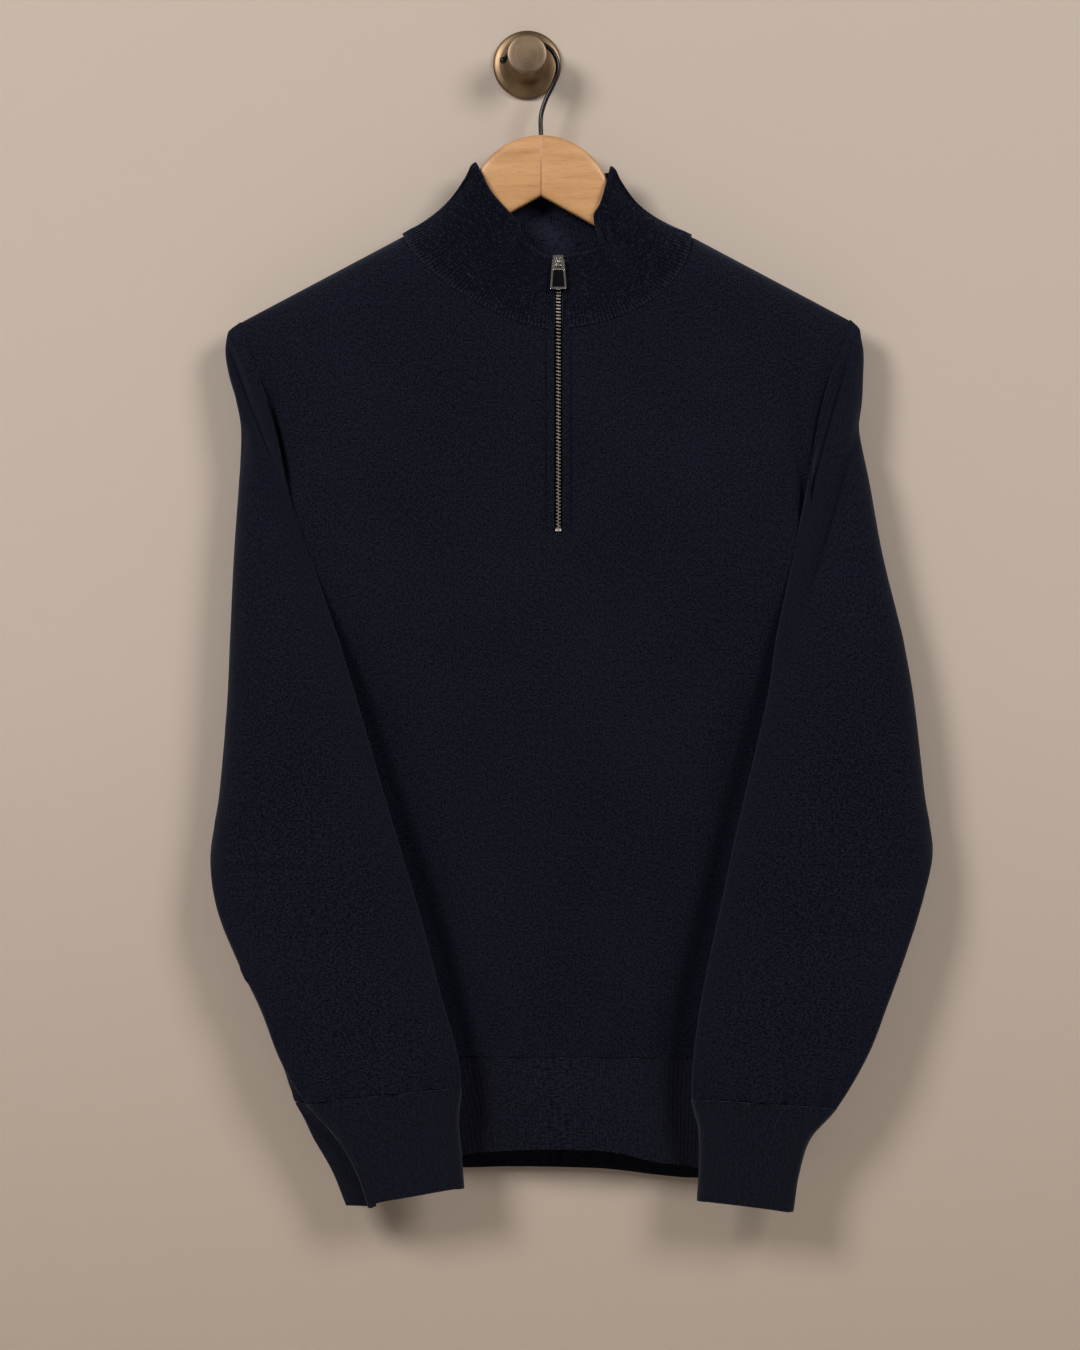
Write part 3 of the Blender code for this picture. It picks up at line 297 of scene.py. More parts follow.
CREST_ACROSS, CREST_HEIGHT = 10.0, -56.0
CREST_RADIUS = 52.0
CREST_REACH = 49.0          # where the crest's round ends, from its middle
ARM_JOIN, ARM_JOIN_HEIGHT = 70.0, -121.0
ARM_TIP = 208.0
ARM_TIP_ROUND = 10.0
ARM_UNDERSIDE, ARM_UNDERSIDE_SLOPE = -100.0, 0.56
ARM_THICK_MIDDLE, ARM_THICK_TIP = 12.0, 9.5
ARM_SQUARENESS = 0.42       # power of the arms' rounded section
ARM_OFF = 27.0
ARM_BOW = 2.0
ARM_LEAN = 0.49             # slope of the grain, in radians
SHOULDER_SLOPE = 0.53


def arm_top(reach):
    """Height of a hanger arm's top edge at a distance from the crest."""
    if reach <= CREST_REACH:
        return CREST_HEIGHT - CREST_RADIUS + math.sqrt(CREST_RADIUS ** 2 - reach ** 2)
    start = CREST_HEIGHT - CREST_RADIUS + math.sqrt(CREST_RADIUS ** 2 - CREST_REACH ** 2)
    end = ARM_JOIN_HEIGHT
    if reach >= ARM_JOIN:
        return end - SHOULDER_SLOPE * (reach - ARM_JOIN)
    t = (reach - CREST_REACH) / (ARM_JOIN - CREST_REACH)
    steep = 2.6 * (ARM_JOIN - CREST_REACH)
    gentle = SHOULDER_SLOPE * (ARM_JOIN - CREST_REACH)
    return ((1 + 2 * t) * (1 - t) ** 2 * start - t * (1 - t) ** 2 * steep
            + t * t * (3 - 2 * t) * end - t * t * (t - 1) * gentle)


def beech(name, out):
    """Pale beech with fine grain that runs along the arm, under a satin lacquer."""
    wood, tree, shader, place = new_material(name)

    def along_arm(scale):
        lean = (0, -out * ARM_LEAN, 0)
        return add(tree, "ShaderNodeMapping", {"Vector": place, "Rotation": lean, "Scale": scale})

    grain = noise(tree, along_arm((9, 120, 120)), 1.0, 6.0, Distortion=0.6)
    flecks = noise(tree, along_arm((160, 1500, 1500)), 1.0, 2.0)
    body = ramp(tree, grain, [(0.25, (0.41, 0.205, 0.080)), (0.50, (0.50, 0.262, 0.109)),
                              (0.75, (0.56, 0.31, 0.14))])
    fleck = ramp(tree, flecks, [(0.30, (0.72, 0.68, 0.62)), (0.46, (1.0, 1.0, 1.0))])
    mix = add(tree, "ShaderNodeMix", {"Factor": 0.6, "A": body, "B": fleck}, "Result", data_type="RGBA",
              blend_type="MULTIPLY")
    feed(tree, shader, {"Base Color": mix, "Roughness": 0.42, "Coat Weight": 0.25, "Coat Roughness": 0.25,
                        "Normal": bump(tree, flecks, 0.2, 0.0001)})
    return wood


for side, out in (("left", -1), ("right", 1)):
    rings = []
    tip = ARM_TIP - ARM_TIP_ROUND * (1 - np.sin(np.linspace(0.1, 1, 14) * math.pi / 2))
    for reach in np.r_[0.2, 1.2, np.linspace(4, ARM_TIP - ARM_TIP_ROUND, 90), tip]:
        share = reach / ARM_TIP
        top = arm_top(reach)
        low = ARM_UNDERSIDE - ARM_UNDERSIDE_SLOPE * reach
        thick = ARM_THICK_MIDDLE + (ARM_THICK_TIP - ARM_THICK_MIDDLE) * share
        close = min(1.0, math.sqrt(max(0.0, (ARM_TIP - reach + 0.6) / 6.6)))
        off = ARM_OFF + ARM_BOW * share ** 2
        turns = np.linspace(0, 2 * math.pi, 56, endpoint=False)
        c, s = np.cos(turns), np.sin(turns)
        w = np.sign(c) * np.abs(c) ** ARM_SQUARENESS * thick / 2 * (0.4 + 0.6 * close)
        h = np.sign(s) * np.abs(s) ** ARM_SQUARENESS * (top - low) / 2 * (0.25 + 0.75 * close)
        rings.append(spot(CREST_ACROSS + out * reach, (top + low) / 2 + h, off + w))
    arm = outward(make_object("hanger_beech_arm_" + side, *through_rings(np.array(rings)),
                              beech("lacquered_beech_" + side, out), sharp=50))
    stands_for(arm, "hanger_wood", "hanger_arm_" + side)

HOOK_PATH = table("across height", (10, -55.3), (10, -42), (13.5, -30), (19.5, -17.5), (22.3, -6), (19.5, 3.5),
                  (13, 9.6), (4, 11.9), (-6, 9.8), (-12.6, 3.6), (-19.5, -3))
WIRE = 3.3
WIRE_BALL = 5.2


def tube(route, radii, sides):
    """Rings round a route, each at right angles to it."""
    rings = []
    turns = np.linspace(0, 2 * math.pi, sides, endpoint=False)
    for k, point in enumerate(route):
        ahead = route[min(k + 1, len(route) - 1)] - route[max(k - 1, 0)]
        ahead /= np.linalg.norm(ahead)
        across = np.cross(ahead, (0, 1, 0))
        rings.append(point + radii[k] * (np.cos(turns)[:, None] * across + np.outer(np.sin(turns), (0, 1, 0))))
    return np.array(rings)


route = smooth_path([spot(row.across, row.height, ARM_OFF) for row in HOOK_PATH], 260)
tail = np.linalg.norm(route - route[-1], axis=1)
ball = WIRE_BALL / 2
round_end = np.sqrt(np.clip(ball ** 2 - (tail - ball) ** 2, 0.02, None))
radii = np.where(tail < 2 * ball, np.maximum(WIRE / 2 * np.clip(tail / ball, 0, 1) ** 0.5, round_end), WIRE / 2)


def scuffed(tree, shader, place, scale, smooth, dull):
    """Varies how smooth a skin is with fine scuffs."""
    scuffs = noise(tree, place, scale, 4.0)
    rough = add(tree, "ShaderNodeMapRange", {"Value": scuffs, "To Min": smooth, "To Max": dull})
    feed(tree, shader, {"Roughness": rough})
    return scuffs


wire, tree, shader, place = new_material("black_lacquered_wire")
feed(tree, shader, {"Base Color": (0.006, 0.006, 0.0065, 1.0), "Specular IOR Level": 0.3})
scuffed(tree, shader, place, 600.0, 0.16, 0.34)
hook = outward(make_object("hanger_wire_hook", *through_rings(tube(route, radii, 20)), wire))
stands_for(hook, "hook_wire", "hanger_hook")


# ================================================================ body
# Front and back panels in a fine single jersey of dark navy melange yarn, brushed soft. They fold
# over the hanger's arms at the shoulders and are joined at the sides. The front is slit for the
# zip and turned under along it, and both panels are eased into the hem rib below.

def read(rows, column, at, along="height"):
    """One named column of a table, read on a smooth curve through its rows."""
    rows = sorted(rows, key=lambda row: getattr(row, along))
    places = np.array([getattr(row, along) for row in rows], float)
    values = np.array([getattr(row, column) for row in rows], float)
    slopes = np.empty_like(values)
    steps = np.diff(values) / np.diff(places)
    slopes[0] = steps[0]
    slopes[-1] = steps[-1]
    slopes[1:-1] = (values[2:] - values[:-2]) / (places[2:] - places[:-2])
    at = np.clip(np.asarray(at, float), places[0], places[-1])
    span = np.clip(np.searchsorted(places, at) - 1, 0, len(places) - 2)
    width = places[span + 1] - places[span]
    t = (at - places[span]) / width
    return ((1 + 2 * t) * (1 - t) ** 2 * values[span] + t * (1 - t) ** 2 * width * slopes[span]
            + t * t * (3 - 2 * t) * values[span + 1] + t * t * (t - 1) * width * slopes[span + 1])


def stitch_knit(name, wale, course, dark, light, relief, rib=0.0, rib_relief=0.0, rib_painted_shade=0.0):
    """Melange jersey: each loop a small V, fibres of lighter blue in a near-black navy, and a nap
    that catches light from the side. A rib pitch adds upright ribs, and a painted shade pitch
    paints shade into the valleys of ribs that are in the shape and lightens their crests."""
    cloth, tree, shader, _ = new_material(name)
    uv = add(tree, "ShaderNodeUVMap", {}, uv_map="knit")
    split = add(tree, "ShaderNodeSeparateXYZ", {0: uv}).node.outputs
    across, along = split["X"], split["Y"]
    leg = maths(tree, "ABSOLUTE", maths(tree, "SINE", maths(tree, "MULTIPLY", across, math.pi / wale)))
    slant = maths(tree, "MULTIPLY_ADD", along, 1.0 / course, maths(tree, "MULTIPLY", leg, 0.55))
    loops = maths(tree, "MULTIPLY", maths(tree, "SINE", maths(tree, "MULTIPLY", slant, 2 * math.pi)), 0.5)
    stitch = maths(tree, "MULTIPLY_ADD", leg, 0.6, maths(tree, "MULTIPLY", loops, 0.4))

    def fuzz(scale, stretch, detail):
        sizes = (scale, scale / stretch, scale)
        return noise(tree, add(tree, "ShaderNodeMapping", {"Vector": uv, "Scale": sizes}), 1.0, detail)

    fibres, tufts, drift = fuzz(900.0, 1.3, 3.0), fuzz(330.0, 1.2, 2.0), fuzz(9.0, 1.0, 2.0)
    mix = maths(tree, "MULTIPLY_ADD", tufts, 0.16, maths(tree, "MULTIPLY", drift, 0.08))
    mix = maths(tree, "MULTIPLY_ADD", fibres, 0.76, mix)
    mix = maths(tree, "MULTIPLY_ADD", stitch, 0.10, mix)
    if rib_painted_shade:
        # painted shade: the colour darkens in the ribs' valleys and lightens on their crests
        crest = maths(tree, "COSINE", maths(tree, "MULTIPLY", across, 2 * math.pi / rib_painted_shade))
        mix = maths(tree, "MULTIPLY_ADD", crest, 0.085, mix)
    height = maths(tree, "MULTIPLY_ADD", fibres, 0.9, maths(tree, "MULTIPLY", stitch, relief))
    if rib:
        ridge = maths(tree, "SINE", maths(tree, "MULTIPLY", across, 2 * math.pi / rib))
        height = maths(tree, "ADD", height, maths(tree, "MULTIPLY", ridge, rib_relief))
    feed(tree, shader, {
        "Base Color": ramp(tree, mix, [(0.46, dark), (0.62, light)]), "Roughness": 0.95,
        "Specular IOR Level": 0.06, "Sheen Weight": 0.13, "Sheen Roughness": 0.45,
        "Sheen Tint": (0.50, 0.56, 0.80, 1.0), "Normal": bump(tree, height, 0.65, 0.0004)})
    return cloth


jersey = stitch_knit("navy_melange_jersey", 0.0013, 0.0011, (0.0013, 0.0017, 0.0045),
                     (0.0083, 0.0096, 0.0180), 0.5)

NECK_MIDDLE = 14.5
NECK_HALF = 103.5
NECK_POINT_HEIGHT = -129.8
FRONT_NECK_DROP = 69.0
BACK_NECK_DROP = 21.0
NECK_TUCK = 2.5
NECK_ROUND_LEFT = 1.4
NECK_ROUND_RIGHT = 2.0
SHOULDER_ROLL = 32.0
SECTION_POWER = 2.6
BODY = table("height left right middle front back",
    (-60, -212, 238, 27, 24, 15),
    (-200, -212, 238, 27, 24, 15),
    (-300, -205, 233, 27, 24, 15),
    (-400, -199, 232, 26, 23, 15),
    (-466, -199, 234, 25, 21.5, 14.5),
    (-535, -196, 232, 24, 20, 14.5),
    (-612, -188, 224, 23, 18.5, 14),
    (-685, -176, 212, 22, 17.5, 14),
    (-733, -163, 202, 21, 17, 13.5),
    (-775, -147, 195, 20.5, 15.5, 13),
    (-820, -136, 190, 20, 14.5, 13))
ARMHOLE = table("height front_left back_left front_right back_right",
    (-191, -208, -208, 234, 234),
    (-223, -196, -202, 222, 228),
    (-250, -188, -197, 214, 223),
    (-280, -180, -192, 208, 219),
    (-310, -176, -189, 204, 217),
    (-340, -177, -190, 206, 219),
    (-368, -186, -194, 216, 224),
    (-392, -199, -199, 232, 232))
SHOULDER_POINT_HEIGHT = -192.0
UNDERARM_HEIGHT = -392.0
HEM_SEAM_FRONT = -724.0
HEM_SEAM_SIDE = -733.0
HEM_SEAM_BACK = -742.0
ZIP_ACROSS = 22.5
ZIP_FOOT = -346.0
SLIT_HALF = 2.9
KNIT_WALL = 1.6
SIDE_SEAM_GAP = 1.5


def shoulder_height(across):
    return NECK_POINT_HEIGHT - SHOULDER_SLOPE * (np.abs(across - NECK_MIDDLE) - NECK_HALF)


def body_off(across, height, forward, grow=0.0):
    """Distance off the wall of the body's front or back surface, or of one that much outside it."""
    left = read(BODY, "left", height) - grow
    right = read(BODY, "right", height) + grow
    u = np.clip(np.abs(2 * (across - left) / (right - left) - 1), 0, 1)
    roundness = (1 - u ** SECTION_POWER) ** (1 / SECTION_POWER)
    below = np.clip((shoulder_height(across) + grow - height) / (SHOULDER_ROLL + grow), 0, 1)
    roll = np.sqrt(1 - (1 - below) ** 2)
    depth = read(BODY, "front" if forward else "back", height) + grow
    return read(BODY, "middle", height) + (1 if forward else -1) * depth * roundness * roll


def front_off(across, height):
    return body_off(across, height, True)


def back_off(across, height):
    return body_off(across, height, False)


def panel_top(across, drop, round_left, round_right):
    """Height of a panel's top edge: the shoulder, and the neck's drop between them."""
    u = (across - NECK_MIDDLE) / NECK_HALF
    power = np.where(u < 0, round_left, round_right)
    inside = np.clip(1 - np.abs(u) ** power, 0, 1) ** (1 / power)
    neck = NECK_POINT_HEIGHT - drop * inside + NECK_TUCK
    return np.minimum(shoulder_height(across), np.where(np.abs(u) < 1, neck, shoulder_height(across)))


def front_neck(across):
    return panel_top(across, FRONT_NECK_DROP, NECK_ROUND_LEFT, NECK_ROUND_RIGHT)


def back_neck(across):
    return panel_top(across, BACK_NECK_DROP, 2.0, 2.0)


def hem_seam(across, height, seam):
    """Height of the hem's seam, which is lower at the sides or in the middle."""
    left = read(BODY, "left", height)
    right = read(BODY, "right", height)
    u = np.clip(2 * (across - left) / (right - left) - 1, -1, 1)
    return HEM_SEAM_SIDE + (seam - HEM_SEAM_SIDE) * (1 - u * u)


# How far the body sinks in behind the hanging sleeves: the middle and depth of each valley
SINK = table("height left left_depth right right_depth",
    (-385, -144, 0, 187, 0), (-470, -117, 9, 167, 8), (-535, -97, 14, 151, 13),
    (-600, -79, 16, 137, 15), (-681, -56, 16, 118, 15), (-740, -42, 13, 111, 12),
    (-800, -39, 9, 116, 9))
SINK_LEFT_WIDTH = 19.0
SINK_RIGHT_WIDTH = 17.0
# and how far the front sinks along the armholes
SEAM_SINK = table("height left right", (-205, 0, 0), (-222, 0.5, 2), (-250, 4, 5), (-285, 7.5, 6),
             (-306, 6.5, 5), (-330, 1, 4), (-360, 0, 1), (-390, 0, 0))
SEAM_SINK_WIDTH = 8.0
SEAM_TUCK = 1.5             # how far the panels run on under the sleeves


def behind_sleeves(across, height):
    return sum(read(SINK, side + "_depth", height) * np.exp(-((across - read(SINK, side, height)) / width) ** 2)
               for side, width in (("left", SINK_LEFT_WIDTH), ("right", SINK_RIGHT_WIDTH)))


# A crease is a curve through three places on the cloth, with how deep it goes, how wide its
# valley is and how high the cloth stands up on its left side, seen along it
CREASE = "x0 z0 x1 z1 x2 z2 depth width ridge"


def creased(across, height, creases):
    """How far creases move the cloth off the wall."""
    moved = np.zeros(np.broadcast(across, height).shape)
    for crease in creases:
        t = np.linspace(0, 1, 17)
        start, middle, end = np.array(crease[:6]).reshape(3, 1, 2)
        t = t[:, None]
        points = (1 - t) ** 2 * start + 2 * t * (1 - t) * middle + t * t * end
        nearest = np.full(moved.shape, 1e9)
        beside = np.zeros(moved.shape)
        share = np.zeros(moved.shape)
        for k in range(len(points) - 1):
            run = points[k + 1] - points[k]
            length = np.linalg.norm(run)
            run = run / length
            dx = across - points[k][0]
            dz = height - points[k][1]
            along = np.clip(dx * run[0] + dz * run[1], 0, length)
            gap = np.hypot(dx - along * run[0], dz - along * run[1])
            closer = gap < nearest
            nearest = np.where(closer, gap, nearest)
            beside = np.where(closer, np.sign(dz * run[0] - dx * run[1]) * gap, beside)
            share = np.where(closer, (k + along / length) / (len(points) - 1), share)
        fade = np.sin(np.pi * np.clip(share, 0.02, 0.98)) ** 0.7
        valley = -crease.depth * np.exp(-(nearest / crease.width) ** 2)
        bank = crease.ridge * np.exp(-((beside - 1.9 * crease.width) / (1.4 * crease.width)) ** 2)
        moved += (valley + bank) * fade * np.exp(-np.clip(nearest - 4 * crease.width, 0, None) / crease.width)
    return moved


def eased(across, height, seam, gathers):
    """Small upright pleats where cloth is eased into a rib."""
    moved = np.zeros(np.broadcast(across, height).shape)
    for place, reach, depth, width, lean in gathers:
        up = np.clip((height - seam) / reach, 0, 1)
        centre = place + lean * up * reach
        moved += depth * (1 - up) ** 1.1 * np.exp(-((across - centre) / width) ** 2)
    return moved


def grid_normals(grid, wrap):
    if wrap:
        along = np.gradient(np.concatenate([grid[:, -1:], grid, grid[:, :1]], axis=1), axis=1)[:, 1:-1]
    else:
        along = np.gradient(grid, axis=1)
    normal = np.cross(along, np.gradient(grid, axis=0))
    return normal / np.maximum(np.linalg.norm(normal, axis=2), 1e-9)[..., None]


def cloth_shell(name, grid, wall, uv, skin, wrap=False, keep=None):
    """A closed wall round a grid of points on its middle, of one thickness or one a row. Wrapped, uv
    has one more column than the grid."""
    rows, columns = grid.shape[:2]
    normals = grid_normals(grid, wrap)
    total = rows * columns
    half = normals * wall / 2
    vertices = np.concatenate([(grid + half).reshape(-1, 3), (grid - half).reshape(-1, 3)])
    i, j = np.meshgrid(np.arange(rows - 1), np.arange(columns if wrap else columns - 1), indexing="ij")
    if keep is not None:
        chosen = keep(i, j)
        i, j = i[chosen], j[chosen]
    i, j = i.ravel(), j.ravel()
    k = (j + 1) % columns
    quads = np.stack([i * columns + j, i * columns + k, (i + 1) * columns + k, (i + 1) * columns + j], 1)
    corners = np.stack([uv[i, j], uv[i, j + 1], uv[i + 1, j + 1], uv[i + 1, j]], 1)
    edges = np.stack([quads, np.roll(quads, -1, 1)], 2).reshape(-1, 2)
    edge_uv = np.stack([corners, np.roll(corners, -1, 1)], 2).reshape(-1, 2, 2)
    codes = edges[:, 0] * total + edges[:, 1]
    rim = ~np.isin(codes, edges[:, 1] * total + edges[:, 0])
    a, b = edges[rim].T
    rims = np.stack([b, a, a + total, b + total], 1)
    rim_uv = edge_uv[rim][:, [1, 0, 0, 1]]
    faces = np.concatenate([quads, quads[:, ::-1] + total, rims])
    face_uv = np.concatenate([corners, corners[:, ::-1], rim_uv])
    used, renumbered = np.unique(faces, return_inverse=True)
    made = make_object(name, vertices[used], renumbered.reshape(faces.shape).tolist(), skin,
                       uv=face_uv.reshape(-1, 2), sharp=62)
    a, b, c, d = np.moveaxis(vertices[faces] - vertices[used].mean(0), 1, 0)
    if (a * (np.cross(b, c) + np.cross(c, d))).sum() < 0:       # its volume, if its faces point out
        made.data.flip_normals()
    return made


def column_across(column, left, right):
    """Columns from -1 to 1, straight beside the zip's slit."""
    part = 1 - np.cos((1 - np.abs(column)) * math.pi / 2)
    return np.where(column < 0, left + (ZIP_ACROSS - SLIT_HALF - left) * part,
                    right + (ZIP_ACROSS + SLIT_HALF - right) * part)


def panel_grid(columns, rows, top, seam, off, armhole_left, armhole_right):
    """Across, height and distance off the wall for each point of a body panel."""
    def across_at(column, height):
        over = height > UNDERARM_HEIGHT
        left = np.where(over, read(ARMHOLE, armhole_left, height) - SEAM_TUCK, read(BODY, "left", height))
        right = np.where(over, read(ARMHOLE, armhole_right, height) + SEAM_TUCK, read(BODY, "right", height))
        return column_across(column, left, right)

    peak = top(across_at(columns, np.full(len(columns), SHOULDER_POINT_HEIGHT)))
    foot = hem_seam(across_at(columns, np.full(len(columns), HEM_SEAM_SIDE)), HEM_SEAM_SIDE, seam)
    height = foot + (peak - foot) * rows[:, None]
    across = across_at(columns[None, :], np.minimum(height, SHOULDER_POINT_HEIGHT))
    return across, height, off(across, height)


def dense_columns(count, power):
    side = np.linspace(0, 1, count) ** power
    return np.r_[-side[:0:-1], -1e-9, 1e-9, side[1:]]


FRONT_CREASES = table(CREASE,
    # beside the right sleeve, from the shoulder down to the armpit
    (190, -236, 196, -290, 205, -372, 8.0, 5.5, 2.0),
    (-186, -226, -184, -262, -172, -318, 4.0, 5.0, 1.0),
    # drag lines from the shoulders and under the arms
    (-160, -250, -120, -330, -60, -372, 1.8, 15.0, 1.0),
    (176, -330, 140, -430, 92, -505, 2.2, 17.0, 1.1),
    (-150, -400, -116, -470, -72, -520, 1.9, 17.0, 0.9),
    (70, -230, 96, -262, 134, -276, 0.7, 13.0, 0.4),
    (-70, -205, -92, -240, -128, -262, 0.7, 13.0, 0.4),
    # slack above the hem
    (-70, -560, -64, -620, -50, -676, 2.4, 12.0, 1.3),
    (118, -540, 110, -610, 92, -668, 2.6, 12.0, 1.4),
    (40, -470, 48, -560, 44, -640, 1.7, 15.0, 0.9),
    (-130, -520, -132, -600, -118, -672, 2.3, 12.0, 1.2))
# Each gather: its place along the seam, reach up from it, depth, width and lean
FRONT_GATHERS = [
    (-142, 58, -3.7, 4.0, 0.05), (-118, 44, -2.7, 3.2, -0.1), (-96, 68, -3.7, 4.2, 0.1),
    (-62, 51, -3.0, 3.6, 0.0), (-40, 37, 2.4, 5.0, 0.0), (-20, 94, -4.8, 3.6, -0.03),
    (-6, 51, 2.7, 5.0, 0.0), (7, 42, -2.1, 3.0, 0.0), (24, 71, -4.5, 3.4, -0.12), (42, 51, -3.4, 3.2, 0.1),
    (60, 44, 2.1, 5.0, 0.0), (78, 58, -2.7, 4.0, -0.1), (98, 44, -3.7, 3.4, 0.0), (124, 58, -3.0, 4.0, 0.1),
    (150, 48, -3.4, 3.8, -0.1), (176, 54, -3.0, 4.0, 0.0),
]
BACK_CREASES = table(CREASE,
    (-180, -230, -150, -330, -110, -420, 1.2, 18.0, 0.6),
    (206, -226, 176, -330, 142, -436, 1.3, 19.0, 0.6),
    (-60, -170, 12, -196, 90, -168, 0.9, 12.0, 0.5),
    (-120, -500, -96, -590, -84, -690, 1.1, 16.0, 0.6),
    (60, -440, 74, -560, 66, -680, 1.0, 17.0, 0.5),
    (170, -480, 158, -570, 150, -676, 1.1, 15.0, 0.5))
BACK_GATHERS = [
    (-140, 51, -3.0, 4.0, 0.0), (-104, 65, -3.7, 3.8, 0.1), (-70, 44, -2.7, 3.4, -0.1),
    (-34, 58, -3.4, 4.2, 0.05), (2, 41, -2.4, 3.4, 0.0), (38, 68, -3.7, 3.8, -0.05),
    (74, 48, -3.0, 3.6, 0.1), (112, 61, -3.4, 4.0, 0.0), (150, 44, -2.7, 3.6, 0.0),
]
PLACKET_LEFT = 14.2
PLACKET_RIGHT = 31.2
PLACKET_RISE = 2.0
PLACKET_STITCH = 2.4


def placket(across, height):
    """The turned edges beside the slit stand up a little inside a line of stitches."""
    inside = 1 / (1 + np.exp(-(across - PLACKET_LEFT) / 0.5)) / (1 + np.exp((across - PLACKET_RIGHT) / 0.5))
    line = np.exp(-((across - PLACKET_LEFT) / 1.0) ** 2) + np.exp(-((across - PLACKET_RIGHT) / 1.0) ** 2)
    reach = 1 / (1 + np.exp(-(height - ZIP_FOOT - 1) / 0.8))
    tack = np.exp(-((height - ZIP_FOOT + 0.5) / 0.9) ** 2) * inside
    return reach * (PLACKET_RISE * inside - PLACKET_STITCH * line) - 1.1 * tack


def flat_uv(across, height):
    return np.stack(np.broadcast_arrays(across, height), -1) * MM


def folded(across, height, columns, seam, creases, gathers):
    """How far the creases and gathers move a panel, fading to nothing along its sewn edges."""
    foot = hem_seam(across, HEM_SEAM_SIDE, seam)
    edge_fade = np.clip((1 - np.abs(columns)) / 0.05, 0, 1)
    top_fade = np.clip((shoulder_height(across) - height) / 25, 0, 1)
    return foot, (creased(across, height, creases) + eased(across, height, foot, gathers)) * edge_fade * top_fade


centre_top = NECK_POINT_HEIGHT - FRONT_NECK_DROP + NECK_TUCK
slit_share = (HEM_SEAM_FRONT - ZIP_FOOT) / (HEM_SEAM_FRONT - centre_top)
SLIT_ROW = 149              # the row of points at the slit's foot
front_rows = np.r_[np.linspace(0, slit_share, SLIT_ROW + 1), np.linspace(slit_share, 1, 64)[1:]]
front_columns = dense_columns(84, 1.75)
across, height, off = panel_grid(front_columns, front_rows, front_neck, HEM_SEAM_FRONT, front_off,
                                 "front_left", "front_right")
foot, shift = folded(across, height, front_columns, HEM_SEAM_FRONT, FRONT_CREASES, FRONT_GATHERS)
shift *= np.clip(0.35 + (height - foot) / 6, 0, 1)
shift += placket(across, height) - behind_sleeves(across, height)
for side in ("left", "right"):
    from_seam = across - read(ARMHOLE, "front_" + side, height)
    shift -= read(SEAM_SINK, side, height) * np.exp(-(from_seam / SEAM_SINK_WIDTH) ** 2)
front_grid = spot(across, height, off + SIDE_SEAM_GAP / 2 + shift)
zip_column = int(np.argmax(front_columns > 0)) - 1
front = cloth_shell("front_panel_knit", front_grid, KNIT_WALL, flat_uv(across, height), jersey,
                    keep=lambda i, j: ~((j == zip_column) & (i >= SLIT_ROW)))
stands_for(front, "navy_knit", "front_panel")

back_columns = dense_columns(56, 1.1)
back_columns = back_columns[back_columns != 1e-9]
across, height, off = panel_grid(back_columns, np.linspace(0, 1, 130), back_neck, HEM_SEAM_BACK, back_off,
                                 "back_left", "back_right")
_, shift = folded(across, height, back_columns, HEM_SEAM_BACK, BACK_CREASES, BACK_GATHERS)
back = cloth_shell("back_panel_knit", spot(across, height, off - SIDE_SEAM_GAP / 2 - shift), KNIT_WALL,
                   flat_uv(across, height), jersey)
stands_for(back, "navy_knit", "back_panel")


# ================================================================ hem rib
# A 1x1 rib in the same yarn, knitted on below the body and pulled in a little. Its edge rides up
# in the middle of the front, so the inside of the back shows below it.

RIB_WALL = 2.0
HEM_GAP = 0.5
HEM_EDGE = table("across front back", (-140, -803, -806), (-48, -795, -809), (-12, -792, -808), (47, -792, -809),
            (70, -794, -811), (92, -799, -814), (125, -802, -817), (192, -808, -814))
rib_knit = stitch_knit("navy_melange_rib", 0.00125, 0.0011, (0.0021, 0.0023, 0.0050),
                       (0.0090, 0.0099, 0.0172), 0.4, rib=0.0025, rib_relief=0.9)
HEM_COLUMNS = 420
HEM_ROWS = 22
HEM_ROUND = 745.0           # length round the hem


def hem_ring(share):
    """One ring of the hem rib, at a share of the way from its seam to its edge."""
    ring = []
    for turn in np.linspace(0, 2 * math.pi, HEM_COLUMNS, endpoint=False):
        u = math.copysign(abs(math.cos(turn)) ** (2 / SECTION_POWER), math.cos(turn))
        forward = math.sin(turn) >= 0
        guess = HEM_SEAM_SIDE - 70 * share
        for _ in range(3):
            left = float(read(BODY, "left", guess))
            right = float(read(BODY, "right", guess))
            across = (left + right) / 2 + u * (right - left) / 2
            top = hem_seam(across, guess, HEM_SEAM_FRONT if forward else HEM_SEAM_BACK)
            foot = float(read(HEM_EDGE, "front" if forward else "back", across, "across"))
            side_foot = float(read(HEM_EDGE, "back", across, "across")) + 3
            foot = side_foot + (foot - side_foot) * (1 - u * u)
            guess = float(top - HEM_GAP + (foot - top + HEM_GAP) * share)
        if forward:
            off = front_off(across, guess) - behind_sleeves(across, guess)
        else:
            off = back_off(across, guess)
        ripple = 0.35 * math.sin(across / 23.0 + 0.6) + 0.25 * math.sin(across / 9.1)
        ripple *= (1 if forward else -1) * min(1.0, 2 * share) * (1 - u ** 4)
        ring.append(spot(across, guess, off + ripple))
    return ring


hem_grid = np.array([hem_ring(share) for share in np.linspace(0, 1, HEM_ROWS)])
around = np.linspace(0, HEM_ROUND, HEM_COLUMNS + 1)
down = np.linspace(0, -72.0, HEM_ROWS)
hem = cloth_shell("hem_rib_knit", hem_grid, RIB_WALL, flat_uv(around[None, :], down[:, None]), rib_knit, wrap=True)
stands_for(hem, "navy_rib", "hem_rib")


# ================================================================ sleeves
# Set-in sleeves in the same jersey, sewn over the body at the armholes. They hang forward of the
# body, flattened, with their outer part wrapped back round the body's side. Each ends in a rib cuff.

